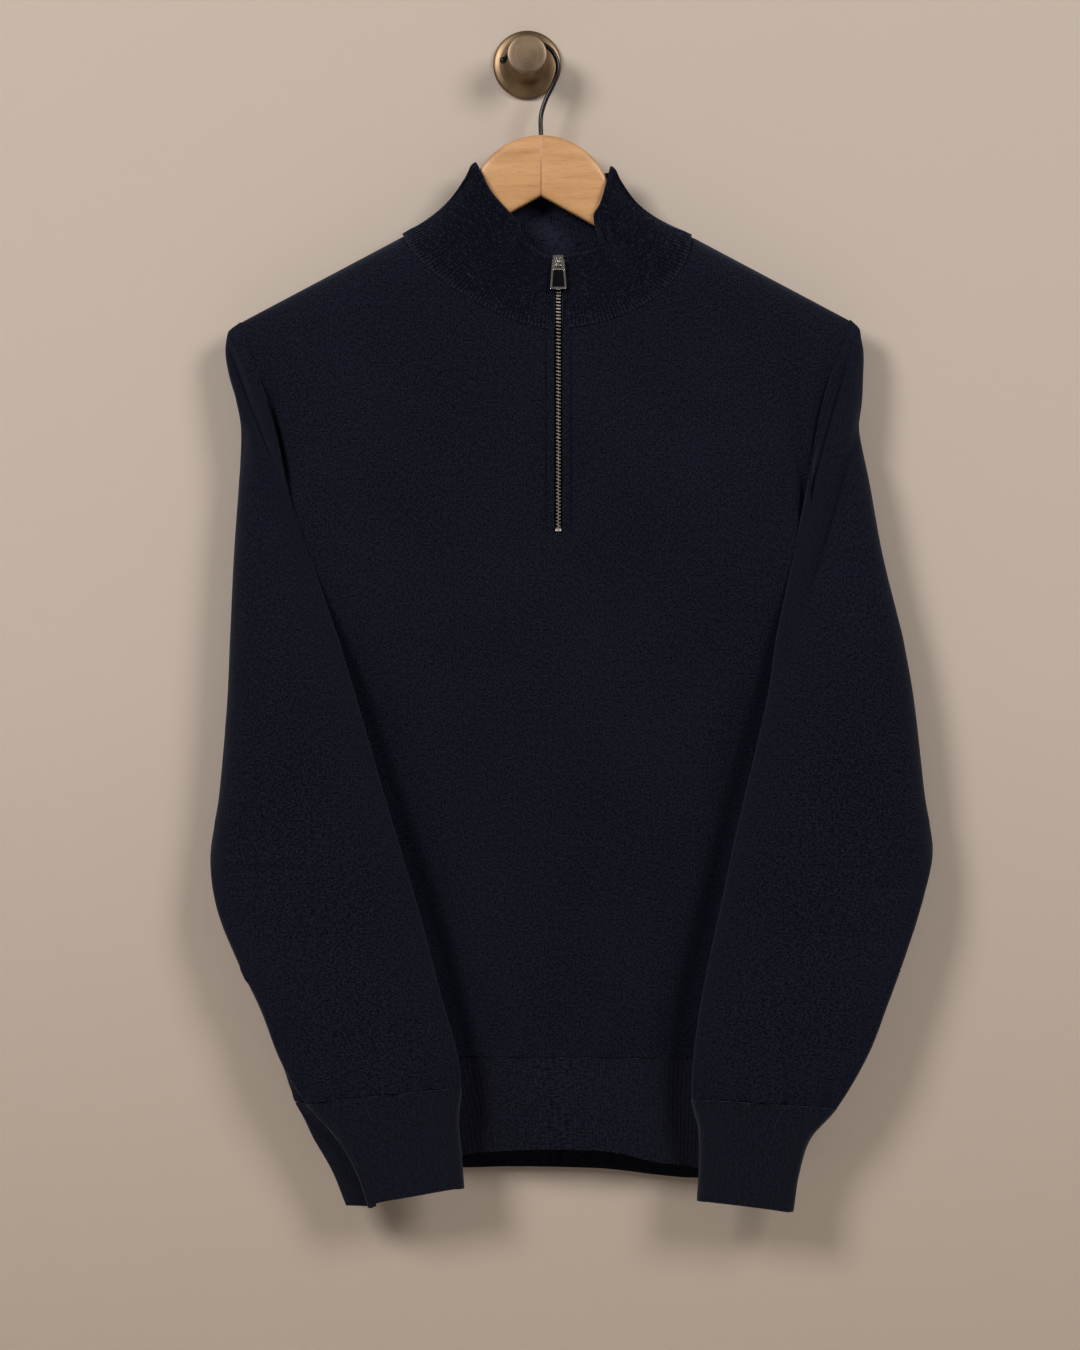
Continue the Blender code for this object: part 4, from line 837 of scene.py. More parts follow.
SLEEVE = "height tilt inner outer inner_off outer_off wrap tail loft lip"
SLEEVE_LEFT = table(SLEEVE,
    (-420, 0, -137, -215, 53, 46, 172, 26, 9, 0),
    (-466, 0, -123, -217, 55, 46, 160, 14, 10, 0),
    (-535, 0, -103, -223, 56, 45, 105, 5, 11, 0),
    (-578, 0, -90, -229, 57, 44, 60, 2, 12, 0),
    (-612, 3, -80, -224, 57, 43, 25, 0, 13, 0),
    (-645, 6, -71, -210, 57, 43, 0, 0, 13, 0),
    (-680, 9, -62, -193, 57, 45, 0, 0, 13, 1),
    (-715, 11, -52, -182, 56, 47, 0, 0, 13, 4),
    (-744, 12, -48, -172, 54, 48, 0, 0, 12, 11),
    (-768, 13, -50, -159, 53, 48, 0, 0, 12, 20),
    (-792, 13.5, -48, -145, 52, 48, 0, 0, 12, 20),
    (-817, 14, -46, -135, 52, 48, 0, 0, 12, 19))
SLEEVE_RIGHT = table(SLEEVE,
    (-420, 0, 180, 272, 53, 46, 172, 26, 9, 0),
    (-466, 0, 173, 280, 55, 46, 160, 14, 10, 0),
    (-535, 0, 157, 288, 56, 45, 105, 5, 11, 0),
    (-574, 0, 148, 293.5, 57, 44, 60, 2, 12, 0),
    (-606, 2, 141.5, 286, 57, 43, 25, 0, 13, 0),
    (-645, 4, 133, 273, 57, 43, 0, 0, 13, 0),
    (-680, 5, 126, 261, 57, 45, 0, 0, 13, 1),
    (-715, 6, 121, 248, 56, 47, 0, 0, 13, 2),
    (-752, 7, 119, 228, 54, 48, 0, 0, 12, 4),
    (-775, 7, 124, 209, 53, 48, 0, 0, 12, 5),
    (-800, 8, 124.5, 200, 52, 48, 0, 0, 12, 4),
    (-826, 8, 123, 196, 52, 48, 0, 0, 12, 4))
WRAP_RADIUS = 18.0
BEND_STEPS = 16
BICEP_HEIGHT = -420.0
FRONT_FOLD_HEIGHT = -307.0
BACK_FOLD_HEIGHT = -335.0
BACK_CLEARANCE = 5.0
SEAM_LAP = 1.3
SLEEVE_CLEARANCE = 2.6
# Where a section's points lie, as shares of its parts: front fold to outer edge, round the edge,
# on to the body's side, and along the inner layer back to the front fold
FRONT_COUNT = 60
FRONT_SHARES = np.linspace(0, 1, FRONT_COUNT, endpoint=False)
FRONT_SHARES = FRONT_SHARES - 0.6 * np.sin(2 * math.pi * FRONT_SHARES) / (2 * math.pi)
EDGE_SHARES = np.linspace(0, 1, 18, endpoint=False)
TAIL_SHARES = np.linspace(0, 1, 12, endpoint=False)
INNER_SHARES = np.linspace(0, 1, 24, endpoint=False) ** 1.4
SLEEVE_HEAD = table("height left right", (-190, 4, 3), (-196, 7, 5), (-203, 9, 5), (-214, 9.5, 5),
                    (-231, 6, 2), (-250, 0, -2), (-270, -4, -7), (-310, -3, -6), (-361, -1, -5),
                    (-420, 0, 0))


def spine(row, out):
    """Middle line of a flattened sleeve section: a leg in front, a bend round the side, a tail."""
    wrap = math.radians(row.wrap)
    reach = abs(row.outer - row.inner) - row.loft - WRAP_RADIUS * min(1.0, wrap)
    heading = math.atan2(row.outer_off - row.inner_off, reach)
    points = [np.array([0.0, 0.0])]
    bend = [(WRAP_RADIUS * wrap / BEND_STEPS, wrap / BEND_STEPS)] * BEND_STEPS
    for step, turn in [(reach, 0.0)] + bend + [(row.tail, 0.0)]:
        heading -= turn
        points.append(points[-1] + step * np.array([math.cos(heading), math.sin(heading)]))
    line = even(np.array(points), 120)
    return np.stack([row.inner + out * (row.loft / 2 + line[:, 0]), row.inner_off + line[:, 1]], 1)


def spread(points, shares):
    """Points at the given shares of a line's length."""
    lengths = np.r_[0, np.cumsum(np.linalg.norm(np.diff(points, axis=0), axis=1))]
    return np.stack([np.interp(shares * lengths[-1], lengths, points[:, k]) for k in range(3)], 1)


def section(rows, height, out):
    """Closed sleeve section: from its front fold over the outer layer, round its outer edge, and
    back along the inner layer."""
    Row = type(rows[0])
    row = Row(height, **{name: float(read(rows, name, height)) for name in Row._fields[1:]})
    line = spine(row, out)
    along = np.gradient(line, axis=0)
    along /= np.linalg.norm(along, axis=1)[:, None]
    outside = out * np.stack([-along[:, 1], along[:, 0]], 1)
    half = row.loft / 2
    turns = np.linspace(0, math.pi, 14)[1:-1]
    end_cap = [line[-1] + half * (math.cos(a) * outside[-1] + math.sin(a) * along[-1]) for a in turns]
    fold_cap = [line[0] - half * (math.cos(a) * outside[0] + math.sin(a) * along[0]) for a in turns]
    loop = np.vstack([line + outside * half, end_cap, (line - outside * half)[::-1], fold_cap])
    reached = np.max(out * loop[:, 0])
    start = np.min(out * loop[:, 0])
    loop[:, 0] = row.inner + (out * loop[:, 0] - start) * (row.outer - row.inner) / (reached - start)
    cap_end = len(line) + len(turns)
    fold = int(np.argmin(out * loop[:, 0]))
    edge = int(np.argmax(out * loop[:cap_end, 0]))
    past_cap = cap_end + 12
    side = past_cap + int(np.argmax(out * loop[past_cap:cap_end + len(line), 0]))
    share = np.linspace(0, 1, len(line))
    shares = np.r_[share, np.ones(len(turns)), share[::-1], np.zeros(len(turns))]
    front_layer = np.r_[np.ones(len(line)), 1 - np.clip(turns - 1.9, 0, 1) + 0.35 * np.sin(turns) ** 6,
                        np.zeros(len(line) + len(turns))]
    loop[:, 0] -= out * row.lip * front_layer * np.clip((shares - 0.6) / 0.4, 0, 1) ** 2
    ring = spot(loop[:, 0], height - row.tilt * shares, loop[:, 1])
    parts = [(np.vstack([ring[fold:], ring[:edge + 1]]), FRONT_SHARES), (ring[edge:cap_end + 1], EDGE_SHARES),
             (ring[cap_end:side + 1], TAIL_SHARES), (ring[side:fold + 1], INNER_SHARES)]
    return np.vstack([spread(points, wanted) for points, wanted in parts])


def lifted(across, height, surface, amount):
    """A place moved straight out from the front or the back surface of the body."""
    step = 0.5
    tilt = (surface(across + step, height) - surface(across - step, height)) / (2 * step)
    lean = (surface(across, height + step) - surface(across, height - step)) / (2 * step)
    normal = np.array([-tilt, 1.0, -lean]) * (1 if surface is front_off else -1)
    normal *= amount / np.linalg.norm(normal)
    return spot(across + normal[0], height + normal[2], surface(across, height) + normal[1])


def armhole_loop(side):
    """The sleeve's top edge: the armhole seam, sewn on top of the body's panels."""
    peak = float(shoulder_height(read(ARMHOLE, "front_" + side, SHOULDER_POINT_HEIGHT)))
    loop = []
    for panel, surface, start, end, shares in (
            ("front", front_off, FRONT_FOLD_HEIGHT, peak, FRONT_SHARES),
            ("back", back_off, peak, BACK_FOLD_HEIGHT, EDGE_SHARES),
            ("back", back_off, BACK_FOLD_HEIGHT, UNDERARM_HEIGHT, TAIL_SHARES),
            ("front", front_off, UNDERARM_HEIGHT, FRONT_FOLD_HEIGHT, INNER_SHARES)):
        for height in start + (end - start) * shares:
            edge = float(read(ARMHOLE, panel + "_" + side, height))
            point = lifted(edge, height, surface, SEAM_LAP + SIDE_SEAM_GAP / 2)
            if panel == "front":
                point[1] += float(read(SEAM_SINK, side, height))
            loop.append(point)
    return np.array(loop)


def clear_of_body(points):
    """Lifts cloth that lies over the body clear of its panels, and keeps it off the wall."""
    across = points[..., 0]
    height = points[..., 2]
    off = -points[..., 1]
    left = read(BODY, "left", height) - SLEEVE_CLEARANCE
    right = read(BODY, "right", height) + SLEEVE_CLEARANCE
    over = (across > left) & (across < right) & (height < shoulder_height(across) + SLEEVE_CLEARANCE)
    front_side = over & (off > read(BODY, "middle", height))
    back_side = over & ~front_side
    clear_front, clear_back = (body_off(across, height, forward, SLEEVE_CLEARANCE) for forward in (True, False))
    off = np.where(front_side, np.maximum(off, clear_front + SIDE_SEAM_GAP / 2), off)
    off = np.where(back_side, np.minimum(off, clear_back - SIDE_SEAM_GAP / 2), off)
    return spot(across, height, np.maximum(off, BACK_CLEARANCE))


LEFT_CREASES = table(CREASE,
    # the deep groove from the sleeve head down to the front fold, and the roll beside it
    (-178, -308, -202, -254, -217, -203, 8.0, 3.8, 3.0),
    (-222, -236, -209, -282, -198, -340, 0.9, 8.0, 0.5),
    # the elbow
    (-231, -589, -198, -590, -160, -585, 2.6, 3.4, 1.5),
    (-222, -548, -196, -566, -164, -572, 0.6, 9.0, 0.4),
    (-226, -612, -206, -626, -176, -632, 0.9, 8.0, 0.5),
    # long slack down the arm
    (-204, -430, -192, -490, -186, -556, 0.8, 11.0, 0.4),
    (-160, -420, -148, -480, -140, -560, 0.8, 14.0, 0.3),
    (-112, -600, -98, -650, -86, -712, 2.0, 8.0, 1.0),
    (-176, -650, -160, -690, -148, -726, 0.9, 8.0, 0.5))
RIGHT_CREASES = table(CREASE,
    (192, -430, 227, -314, 245, -252, 6.5, 4.6, 2.6),
    (237, -203, 220, -256, 186, -384, 7.0, 3.6, 2.2),
    (286, -598, 262, -606, 232, -600, 2.0, 4.5, 1.2),
    (290, -552, 268, -560, 240, -556, 0.6, 8.0, 0.4),
    (262, -420, 262, -480, 270, -540, 0.8, 11.0, 0.4),
    (204, -450, 194, -510, 190, -580, 0.8, 14.0, 0.4),
    (160, -600, 150, -655, 143, -716, 2.0, 8.0, 1.0),
    (236, -640, 218, -690, 204, -732, 1.0, 9.0, 0.5))
LEFT_GATHERS = [
    (-160, 44, -3.4, 3.4, -0.15), (-146, 31, 1.8, 4.0, 0.0), (-132, 51, -3.7, 3.2, -0.1),
    (-112, 34, -2.7, 3.0, 0.0), (-96, 44, 1.8, 4.0, 0.0), (-84, 37, -2.7, 2.8, 0.05),
    (-70, 58, -4.5, 2.8, -0.1), (-59, 31, -2.4, 2.4, 0.0),
]
RIGHT_GATHERS = [
    (128, 34, -2.7, 2.6, 0.0), (141, 44, -3.0, 3.0, 0.0), (156, 68, -4.5, 3.0, -0.06),
    (170, 37, 1.8, 4.2, 0.0), (186, 61, -4.3, 3.2, 0.1), (200, 41, -2.7, 3.0, 0.1),
    (214, 51, -3.4, 3.2, 0.15),
]
SLEEVES = table("side rows creases gathers cuff_seam cuff_edge arm_round",
                ("left", SLEEVE_LEFT, LEFT_CREASES, LEFT_GATHERS, -744.0, -817.0, 296.0),
                ("right", SLEEVE_RIGHT, RIGHT_CREASES, RIGHT_GATHERS, -752.0, -826.0, 308.0))
SLEEVE_PARTS = ["upper_front", "upper_back", "lower_front", "lower_back"]
CUFF_GAP = 0.6
UPPER_RINGS = 74
LOWER_STEP = 3.0
UNDERSIDE_CREASES = [(0.30, 0.9, 0.18), (0.52, -1.2, 0.10), (0.71, 1.0, 0.14), (0.86, -0.9, 0.08)]

for sleeve in SLEEVES:
    out = -1 if sleeve.side == "left" else 1
    seam = armhole_loop(sleeve.side)
    bicep = section(sleeve.rows, BICEP_HEIGHT, out)
    count = len(seam)
    order = np.arange(count)
    in_front = order <= FRONT_COUNT
    past_edge = order - FRONT_COUNT
    from_edge = np.where(in_front, 1 - order / FRONT_COUNT, np.clip(past_edge / len(EDGE_SHARES), 0, 2))
    head = np.exp(-(from_edge / 0.4) ** 2)
    front_share = np.where(in_front, 1.0, np.clip(1 - past_edge / 8, 0, 1))
    front_share *= np.clip(order / 4, 0, 1)
    rings = []
    for t in np.linspace(0, 1, UPPER_RINGS) ** 1.1:
        ring = seam + (bicep - seam) * t
        ring[:, 0] += out * read(SLEEVE_HEAD, sleeve.side, ring[:, 2]) * head * min(1.0, t * 40)
        if t > 0:
            ring = clear_of_body(ring)
        ring[:, 1] -= creased(ring[:, 0], ring[:, 2], sleeve.creases) * front_share * min(1.0, t * 12)
        rings.append(ring)
    lower = np.arange(BICEP_HEIGHT - LOWER_STEP, sleeve.cuff_seam, -LOWER_STEP)
    for height in np.r_[lower, sleeve.cuff_seam]:
        ring = section(sleeve.rows, height, out)
        moved = creased(ring[:, 0], ring[:, 2], sleeve.creases) * front_share
        moved += eased(ring[:, 0], ring[:, 2], sleeve.cuff_seam - 6, sleeve.gathers) * front_share
        ring[:, 1] -= moved
        rings.append(clear_of_body(ring))
    rings = np.array(rings)
    # softer, longer creases on the layer that faces the wall
    inner = np.clip((past_edge - 14) / 12, 0, 1) * np.clip((count - order) / 8, 0, 1)
    drop = (rings[:, :, 2] - rings[0, :, 2]) / (rings[-1, :, 2] - rings[0, :, 2] - 1e-6)
    for place, depth, width in UNDERSIDE_CREASES:
        wave = np.exp(-((drop - place - 0.05 * np.sin(order / 7.0)) / (width * 0.25)) ** 2)
        rings[:, :, 1] += depth * wave * inner * np.clip((drop - 0.2) / 0.1, 0, 1)
    u = np.linspace(0, sleeve.arm_round, count + 1)
    v = -np.r_[0, np.cumsum(np.linalg.norm(np.diff(rings.mean(1), axis=0), axis=1))]
    taper = np.interp(v, [v[-1], -200, 0], [0.68, 0.95, 1.0])
    uv = flat_uv((u - u.mean())[None, :] * taper[:, None], v[:, None])
    walls = KNIT_WALL * np.interp(np.arange(len(rings)), [0, 3], [0.55, 1.0])[:, None, None]
    knit = cloth_shell("sleeve_%s_knit" % sleeve.side, rings, walls, uv, jersey, wrap=True)
    stands_for(knit, "navy_knit", *["sleeve_%s_%s" % (sleeve.side, part) for part in SLEEVE_PARTS])

    heights = np.linspace(sleeve.cuff_seam - CUFF_GAP, sleeve.cuff_edge, 26)
    rings = np.array([section(sleeve.rows, height, out) for height in heights])
    share = np.linspace(0, 1, len(heights))[:, None]
    ripple = 0.5 * np.sin(rings[:, :, 0] / 7.0 + 1.2) * share + 0.3 * share ** 3
    rings[:, :, 1] -= ripple * front_share
    uv = flat_uv(np.linspace(0, 212.0, count + 1)[None, :], -share * 74.0)
    cuff = cloth_shell("cuff_%s_knit" % sleeve.side, rings, RIB_WALL, uv, rib_knit, wrap=True)
    stands_for(cuff, "navy_rib", "cuff_" + sleeve.side)


# ================================================================ collar
# A stand collar in doubled 1x1 rib, linked onto the neck of the body. It stands up behind, opens
# over the hanger in front, and its ribs fan out towards the neck seam.

COLLAR_WALL = 2.4
COLLAR_LAP = 2.1
COLLAR_EDGE = table("across height off",
    (19.3, -146.5, 37), (12.5, -143.8, 37.5), (5, -140, 40), (-1, -135, 42.5),
    (-4.2, -128, 42), (-6, -120.5, 38.5), (-13.5, -112, 36.8), (-25.5, -98.5, 38),
    (-32.5, -85, 36.5), (-37, -76, 31), (-36, -79, 21),
    (-16, -81, 13.5), (12, -81, 12.5), (40, -82, 13.5), (59, -82, 21),
    (60.5, -79, 31), (57, -92, 37), (53, -106, 38), (48.5, -113.5, 35.6),
    (48.6, -119, 36.2), (52.5, -129, 42.5), (53, -136, 43.5), (48.5, -140.6, 41),
    (41, -142.4, 38.5), (33, -143.6, 37.6), (25.7, -146, 37))
COLLAR_SIDE_SAG = 9.0
COLLAR_FRONT_SWELL = 4.0
COLLAR_SLIT_HALF = 2.8


def neck_seam(count, lap):
    """The neck seam from the zip over the left side and the back to the zip again."""
    loop = []
    for turn in np.linspace(0, 2 * math.pi, 240):
        sideways = -math.sin(turn)
        forward = math.cos(turn)
        power = 2.0
        if forward > 0:
            power = NECK_ROUND_LEFT if sideways < 0 else NECK_ROUND_RIGHT
        across = NECK_MIDDLE + NECK_HALF * math.copysign(abs(sideways) ** (2 / power), sideways)
        drop = FRONT_NECK_DROP * forward ** (2 / power) if forward > 0 else BACK_NECK_DROP * abs(forward)
        loop.append(lifted(across, NECK_POINT_HEIGHT - drop, front_off if forward > 0 else back_off, lap))
    loop = np.array(loop)
    start = np.argmax(loop[:120, 0] < ZIP_ACROSS - COLLAR_SLIT_HALF)
    end = np.flatnonzero(loop[:, 0] > ZIP_ACROSS + COLLAR_SLIT_HALF)[-1]
    kept = loop[start:end + 1].copy()
    kept[0, 0] = ZIP_ACROSS - COLLAR_SLIT_HALF
    kept[-1, 0] = ZIP_ACROSS + COLLAR_SLIT_HALF
    return even(kept, count)


def collar_grid(count, steps, lap):
    """Rows of the collar from the neck seam up to its top edge."""
    base = neck_seam(count, lap)
    edge = smooth_path([spot(row.across, row.height, row.off) for row in COLLAR_EDGE], count)
    edge[0, 0] = ZIP_ACROSS - COLLAR_SLIT_HALF
    edge[-1, 0] = ZIP_ACROSS + COLLAR_SLIT_HALF
    sideways = (base[:, 0] - NECK_MIDDLE) / NECK_HALF
    forward = np.clip((-base[:, 1] - 27) / 24, -1, 1)
    pull = (base + edge) / 2
    pull[:, 0] -= COLLAR_SIDE_SAG * 0.55 * np.sign(sideways) * sideways ** 2
    pull[:, 2] -= COLLAR_SIDE_SAG * sideways ** 2
    pull[:, 1] -= COLLAR_FRONT_SWELL * np.clip(forward, 0, 1) * (1 - sideways ** 2)
    return np.array([(1 - t) ** 2 * base + 2 * t * (1 - t) * pull + t * t * edge for t in steps])


COLLAR_RIBS = 186
COLLAR_COLUMNS = COLLAR_RIBS * 6 + 1
COLLAR_EDGE_ROUND = 0.06      # share of the collar's height over which its doubled edge rounds off
RIB_DEPTH = 0.5
steps = np.r_[np.linspace(0, 1 - COLLAR_EDGE_ROUND, 26),
              1 - COLLAR_EDGE_ROUND * np.array([0.72, 0.46, 0.24, 0.09, 0])]
collar_rows = collar_grid(COLLAR_COLUMNS, steps, COLLAR_LAP)
place = np.linspace(0, 1, COLLAR_COLUMNS)
ribs = np.cos(2 * math.pi * COLLAR_RIBS * place) * np.clip(np.minimum(place, 1 - place) / 0.004, 0, 1)
wander = 0.5 * np.sin(9 * place + 1.0)[None, :] * np.sin(3 * steps)[:, None]
fade = np.clip(steps / 0.06, 0.25, 1) * np.clip((1 - steps) / 0.05, 0.3, 1)
relief = RIB_DEPTH * ribs[None, :] * fade[:, None] + wander
collar_rows = collar_rows + grid_normals(collar_rows, False) * relief[..., None]
# the collar's rib valleys get painted shade in its colour
collar_knit = stitch_knit("navy_melange_collar_rib", 0.0012, 0.0010, (0.0016, 0.0019, 0.0048),
                          (0.0125, 0.0140, 0.0250), 0.5, rib_painted_shade=0.0024)
uv = flat_uv(place[None, :] * COLLAR_RIBS * 2.4, steps[:, None] * 66.0)
near_edge = np.clip((steps - 1 + COLLAR_EDGE_ROUND) / COLLAR_EDGE_ROUND, 0, 1)
rolled = 1 + 0.45 * np.clip((steps - 0.88) / 0.06, 0, 1)
walls = COLLAR_WALL * rolled * (0.65 + 0.35 * np.clip(steps / 0.1, 0, 1)) * np.sqrt(1.02 - near_edge ** 2)
collar = cloth_shell("collar_rib_knit", collar_rows, walls[:, None, None], uv, collar_knit)
stands_for(collar, "navy_rib", "collar")


# ================================================================ zip
# A moulded metal zip on two woven tapes sewn behind the slit, closed to the top of the collar. Its
# slider has a bridge that holds a plain flared pull tab, and a bar tack ends the slit below.

CAD_COLLAR_LAP = 4.0
CAD_COLLAR_STEPS = [0, 0.2, 0.45, 0.75, 1]
TAPE_HALF = 12.0
TAPE_WALL = 0.8
TAPE_GAP = 0.9
SLIDER_LENGTH = 9.0
SLIDER_HALF = 4.0
SLIDER_WALL = 2.6
SLIDER_LIFT = 3.3
BRIDGE_HALF = 1.2
BRIDGE_LEG = 1.2
BRIDGE_GAP = 2.4
BRIDGE_START = 1.4
BRIDGE_RUN = 6.2
PULL_TOP_HALF = 4.4
PULL_FOOT_HALF = 5.9
PULL_LENGTH = 23.5
PULL_WALL = 1.4
PULL_BAR = 1.4
PULL_WINDOW_HALF = 2.3
PULL_WINDOW_LENGTH = 5.6
PULL_INSET = 0.28           # depth of the recessed face, which is painted near-black as a painted reflection of the dark surroundings
TOOTH_PITCH = 2.5
TOOTH = (2.2, 1.5, 0.95)                    # its foot: across, out from the tape, along the zip
TOOTH_HEAD = (0.99, 2.025, 0.76)            # the narrower knob on it
TOOTH_SIDE = 0.62
TOOTH_WEAR = 0.12


def zip_line(rows, count):
    """Middle of the zip from its foot to the top of the collar: height and distance off the wall."""
    below = np.linspace(ZIP_FOOT + 1, NECK_POINT_HEIGHT - FRONT_NECK_DROP - 6, 12)
    body = [(height, float(front_off(ZIP_ACROSS, height))) for height in below]
    column = (rows[:, 0] + rows[:, -1]) / 2
    return smooth_path(np.array(body + [(point[2], -point[1]) for point in column[1:]]), count)


def plated(name, colour, roughness, marks):
    """Cast metal polished and plated pale, with faint scuffs."""
    metal, tree, shader, place = new_material(name)
    scuffs = scuffed(tree, shader, place, 900.0, roughness, roughness + marks)
    dull = tuple(0.82 * c for c in colour)
    feed(tree, shader, {"Metallic": 1.0, "Base Color": ramp(tree, scuffs, [(0.3, dull), (0.6, colour)])})
    return metal


teeth_metal = plated("plated_zip_teeth", (0.86, 0.78, 0.66), 0.24, 0.12)
pull_metal = plated("polished_pull_metal", (0.80, 0.76, 0.71), 0.12, 0.10)

coarse = collar_grid(43, CAD_COLLAR_STEPS, CAD_COLLAR_LAP)
line = zip_line(coarse, 22)
fine_line = zip_line(collar_grid(43, np.linspace(0, 1, 12), COLLAR_LAP), 160)

tape_cloth = stitch_knit("navy_woven_tape", 0.0007, 0.0006, (0.0016, 0.0017, 0.0032),
                         (0.0060, 0.0065, 0.0105), 0.8)
under = -(COLLAR_WALL / 2 + TAPE_GAP + TAPE_WALL / 2)
slope = np.gradient(fine_line, axis=0)
slope /= np.linalg.norm(slope, axis=1)[:, None]
for side, near, far in (("left", -0.3, -TAPE_HALF), ("right", 0.3, TAPE_HALF)):
    steps = np.linspace(min(near, far), max(near, far), 13)
    cord = 0.35 * np.exp(-((steps - near) / 0.9) ** 2)
    lift = under + cord[None, :]
    grid = spot(np.broadcast_to(ZIP_ACROSS + steps[None, :], (len(fine_line), len(steps))),
                fine_line[:, :1] - slope[:, 1:] * lift, fine_line[:, 1:] + slope[:, :1] * lift)
    tape = cloth_shell("zip_tape_%s_woven" % side, grid, TAPE_WALL,
                       flat_uv(steps[None, :], fine_line[:, :1]), tape_cloth)
    stands_for(tape, "zip_tape", "zip_tape_" + side)


def plain_mesh(made):
    """An object's mesh with its modifiers applied."""
    return bpy.data.meshes.new_from_object(made.evaluated_get(bpy.context.evaluated_depsgraph_get()))


def row_of_teeth(name, points, side, start):
    """Equal teeth at one side of a route, made with Geometry Nodes and turned into a mesh."""
    tree = bpy.data.node_groups.new(name + "_row", "GeometryNodeTree")
    for way in ("INPUT", "OUTPUT"):
        tree.interface.new_socket("Geometry", in_out=way, socket_type="NodeSocketGeometry")
    curve = add(tree, "GeometryNodeMeshToCurve", {"Mesh": add(tree, "NodeGroupInput", {})})
    trimmed = add(tree, "GeometryNodeTrimCurve", {"Curve": curve, 4: start * MM, 5: 10.0}, mode="LENGTH")
    steps = add(tree, "GeometryNodeResampleCurve", {"Curve": trimmed, "Length": TOOTH_PITCH * MM}, mode="LENGTH")
    turn = add(tree, "FunctionNodeAlignRotationToVector", {"Vector": add(tree, "GeometryNodeInputTangent", {})},
               axis="Z", pivot_axis="X")
    join = tree.nodes.new("GeometryNodeJoinGeometry")
    for size in (TOOTH, TOOTH_HEAD):
        block = add(tree, "GeometryNodeMeshCube", {"Size": [c * MM for c in size]})
        tree.links.new(block, join.inputs["Geometry"])
    tooth = add(tree, "GeometryNodeTransform", {"Geometry": join.outputs[0], "Translation": (side * MM, 0, 0)})
    placed = add(tree, "GeometryNodeInstanceOnPoints", {"Points": steps, "Instance": tooth, "Rotation": turn})
    real = add(tree, "GeometryNodeRealizeInstances", {"Geometry": placed})
    painted = add(tree, "GeometryNodeSetMaterial", {"Geometry": real, "Material": teeth_metal})
    feed(tree, tree.nodes.new("NodeGroupOutput"), {0: painted})

    mesh = bpy.data.meshes.new(name)
    mesh.from_pydata((points * MM).tolist(), [(k, k + 1) for k in range(len(points) - 1)], [])
    made = in_scene(name, mesh)
    made.modifiers.new("row", "NODES").node_group = tree
    bevel = made.modifiers.new("worn edges", "BEVEL")
    bevel.width = TOOTH_WEAR * MM
    bevel.segments = 1
    plain = plain_mesh(made)
    made.modifiers.clear()
    made.data = plain
    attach(made, HUNG)
    return made


TEETH_SINK = 0.4            # how far the teeth lie behind the collar's middle
tooth_route = spot(np.full(len(fine_line), ZIP_ACROSS), fine_line[:, 0] + slope[:, 1] * TEETH_SINK,
                   fine_line[:, 1] - slope[:, 0] * TEETH_SINK)[:-6]
for side, sign, start in (("left", -1, 0.4), ("right", 1, 0.4 + TOOTH_PITCH / 2)):
    teeth = row_of_teeth("zip_teeth_" + side, tooth_route, sign * TOOTH_SIDE, start)
    stands_for(teeth, "zip_metal", "zip_chain")

top = Vector((ZIP_ACROSS, -line[-1][1], line[-1][0]))
down = (Vector((ZIP_ACROSS, -line[-4][1], line[-4][0])) - top).normalized()
face_out = Vector((1, 0, 0)).cross(down)
if face_out.y > 0:
    face_out.negate()
lie = Matrix((Vector((1, 0, 0)), down, face_out)).transposed()


def prism(name, low, high, skin, body):
    """A solid between two equal outlines."""
    count = len(low)
    faces = [tuple(range(count))[::-1], tuple(range(count, 2 * count))]
    faces.extend((j, (j + 1) % count, count + (j + 1) % count, count + j) for j in range(count))
    return outward(make_object(name, [tuple(p) for p in low + high], faces, skin, body=body))


def finished(made, bevel_width, tools=()):
    """Joins or cuts with other solids, breaks the edges, and leaves a plain mesh."""
    for operation, tool in tools:
        boolean = made.modifiers.new(operation.lower(), "BOOLEAN")
        boolean.operation = operation
        boolean.object = tool
    bevel = made.modifiers.new("broken edges", "BEVEL")
    bevel.width = bevel_width * MM
    bevel.segments = 3
    bevel.limit_method = "ANGLE"
    bevel.angle_limit = math.radians(32)
    plain = plain_mesh(made)
    made.modifiers.clear()
    made.data = plain
    for _, tool in tools:
        bpy.data.objects.remove(tool, do_unlink=True)
    plain.shade_smooth()
    plain.set_sharp_from_angle(angle=math.radians(40))
    return made


def slab(name, outline, low, high, origin, body, skin):
    """A flat solid that lies along the zip: its outline's places are across and down from origin."""
    low_face, high_face = ([origin + lie @ Vector((u, v, w)) for u, v in outline] for w in (low, high))
    return prism(name, low_face, high_face, skin, body)


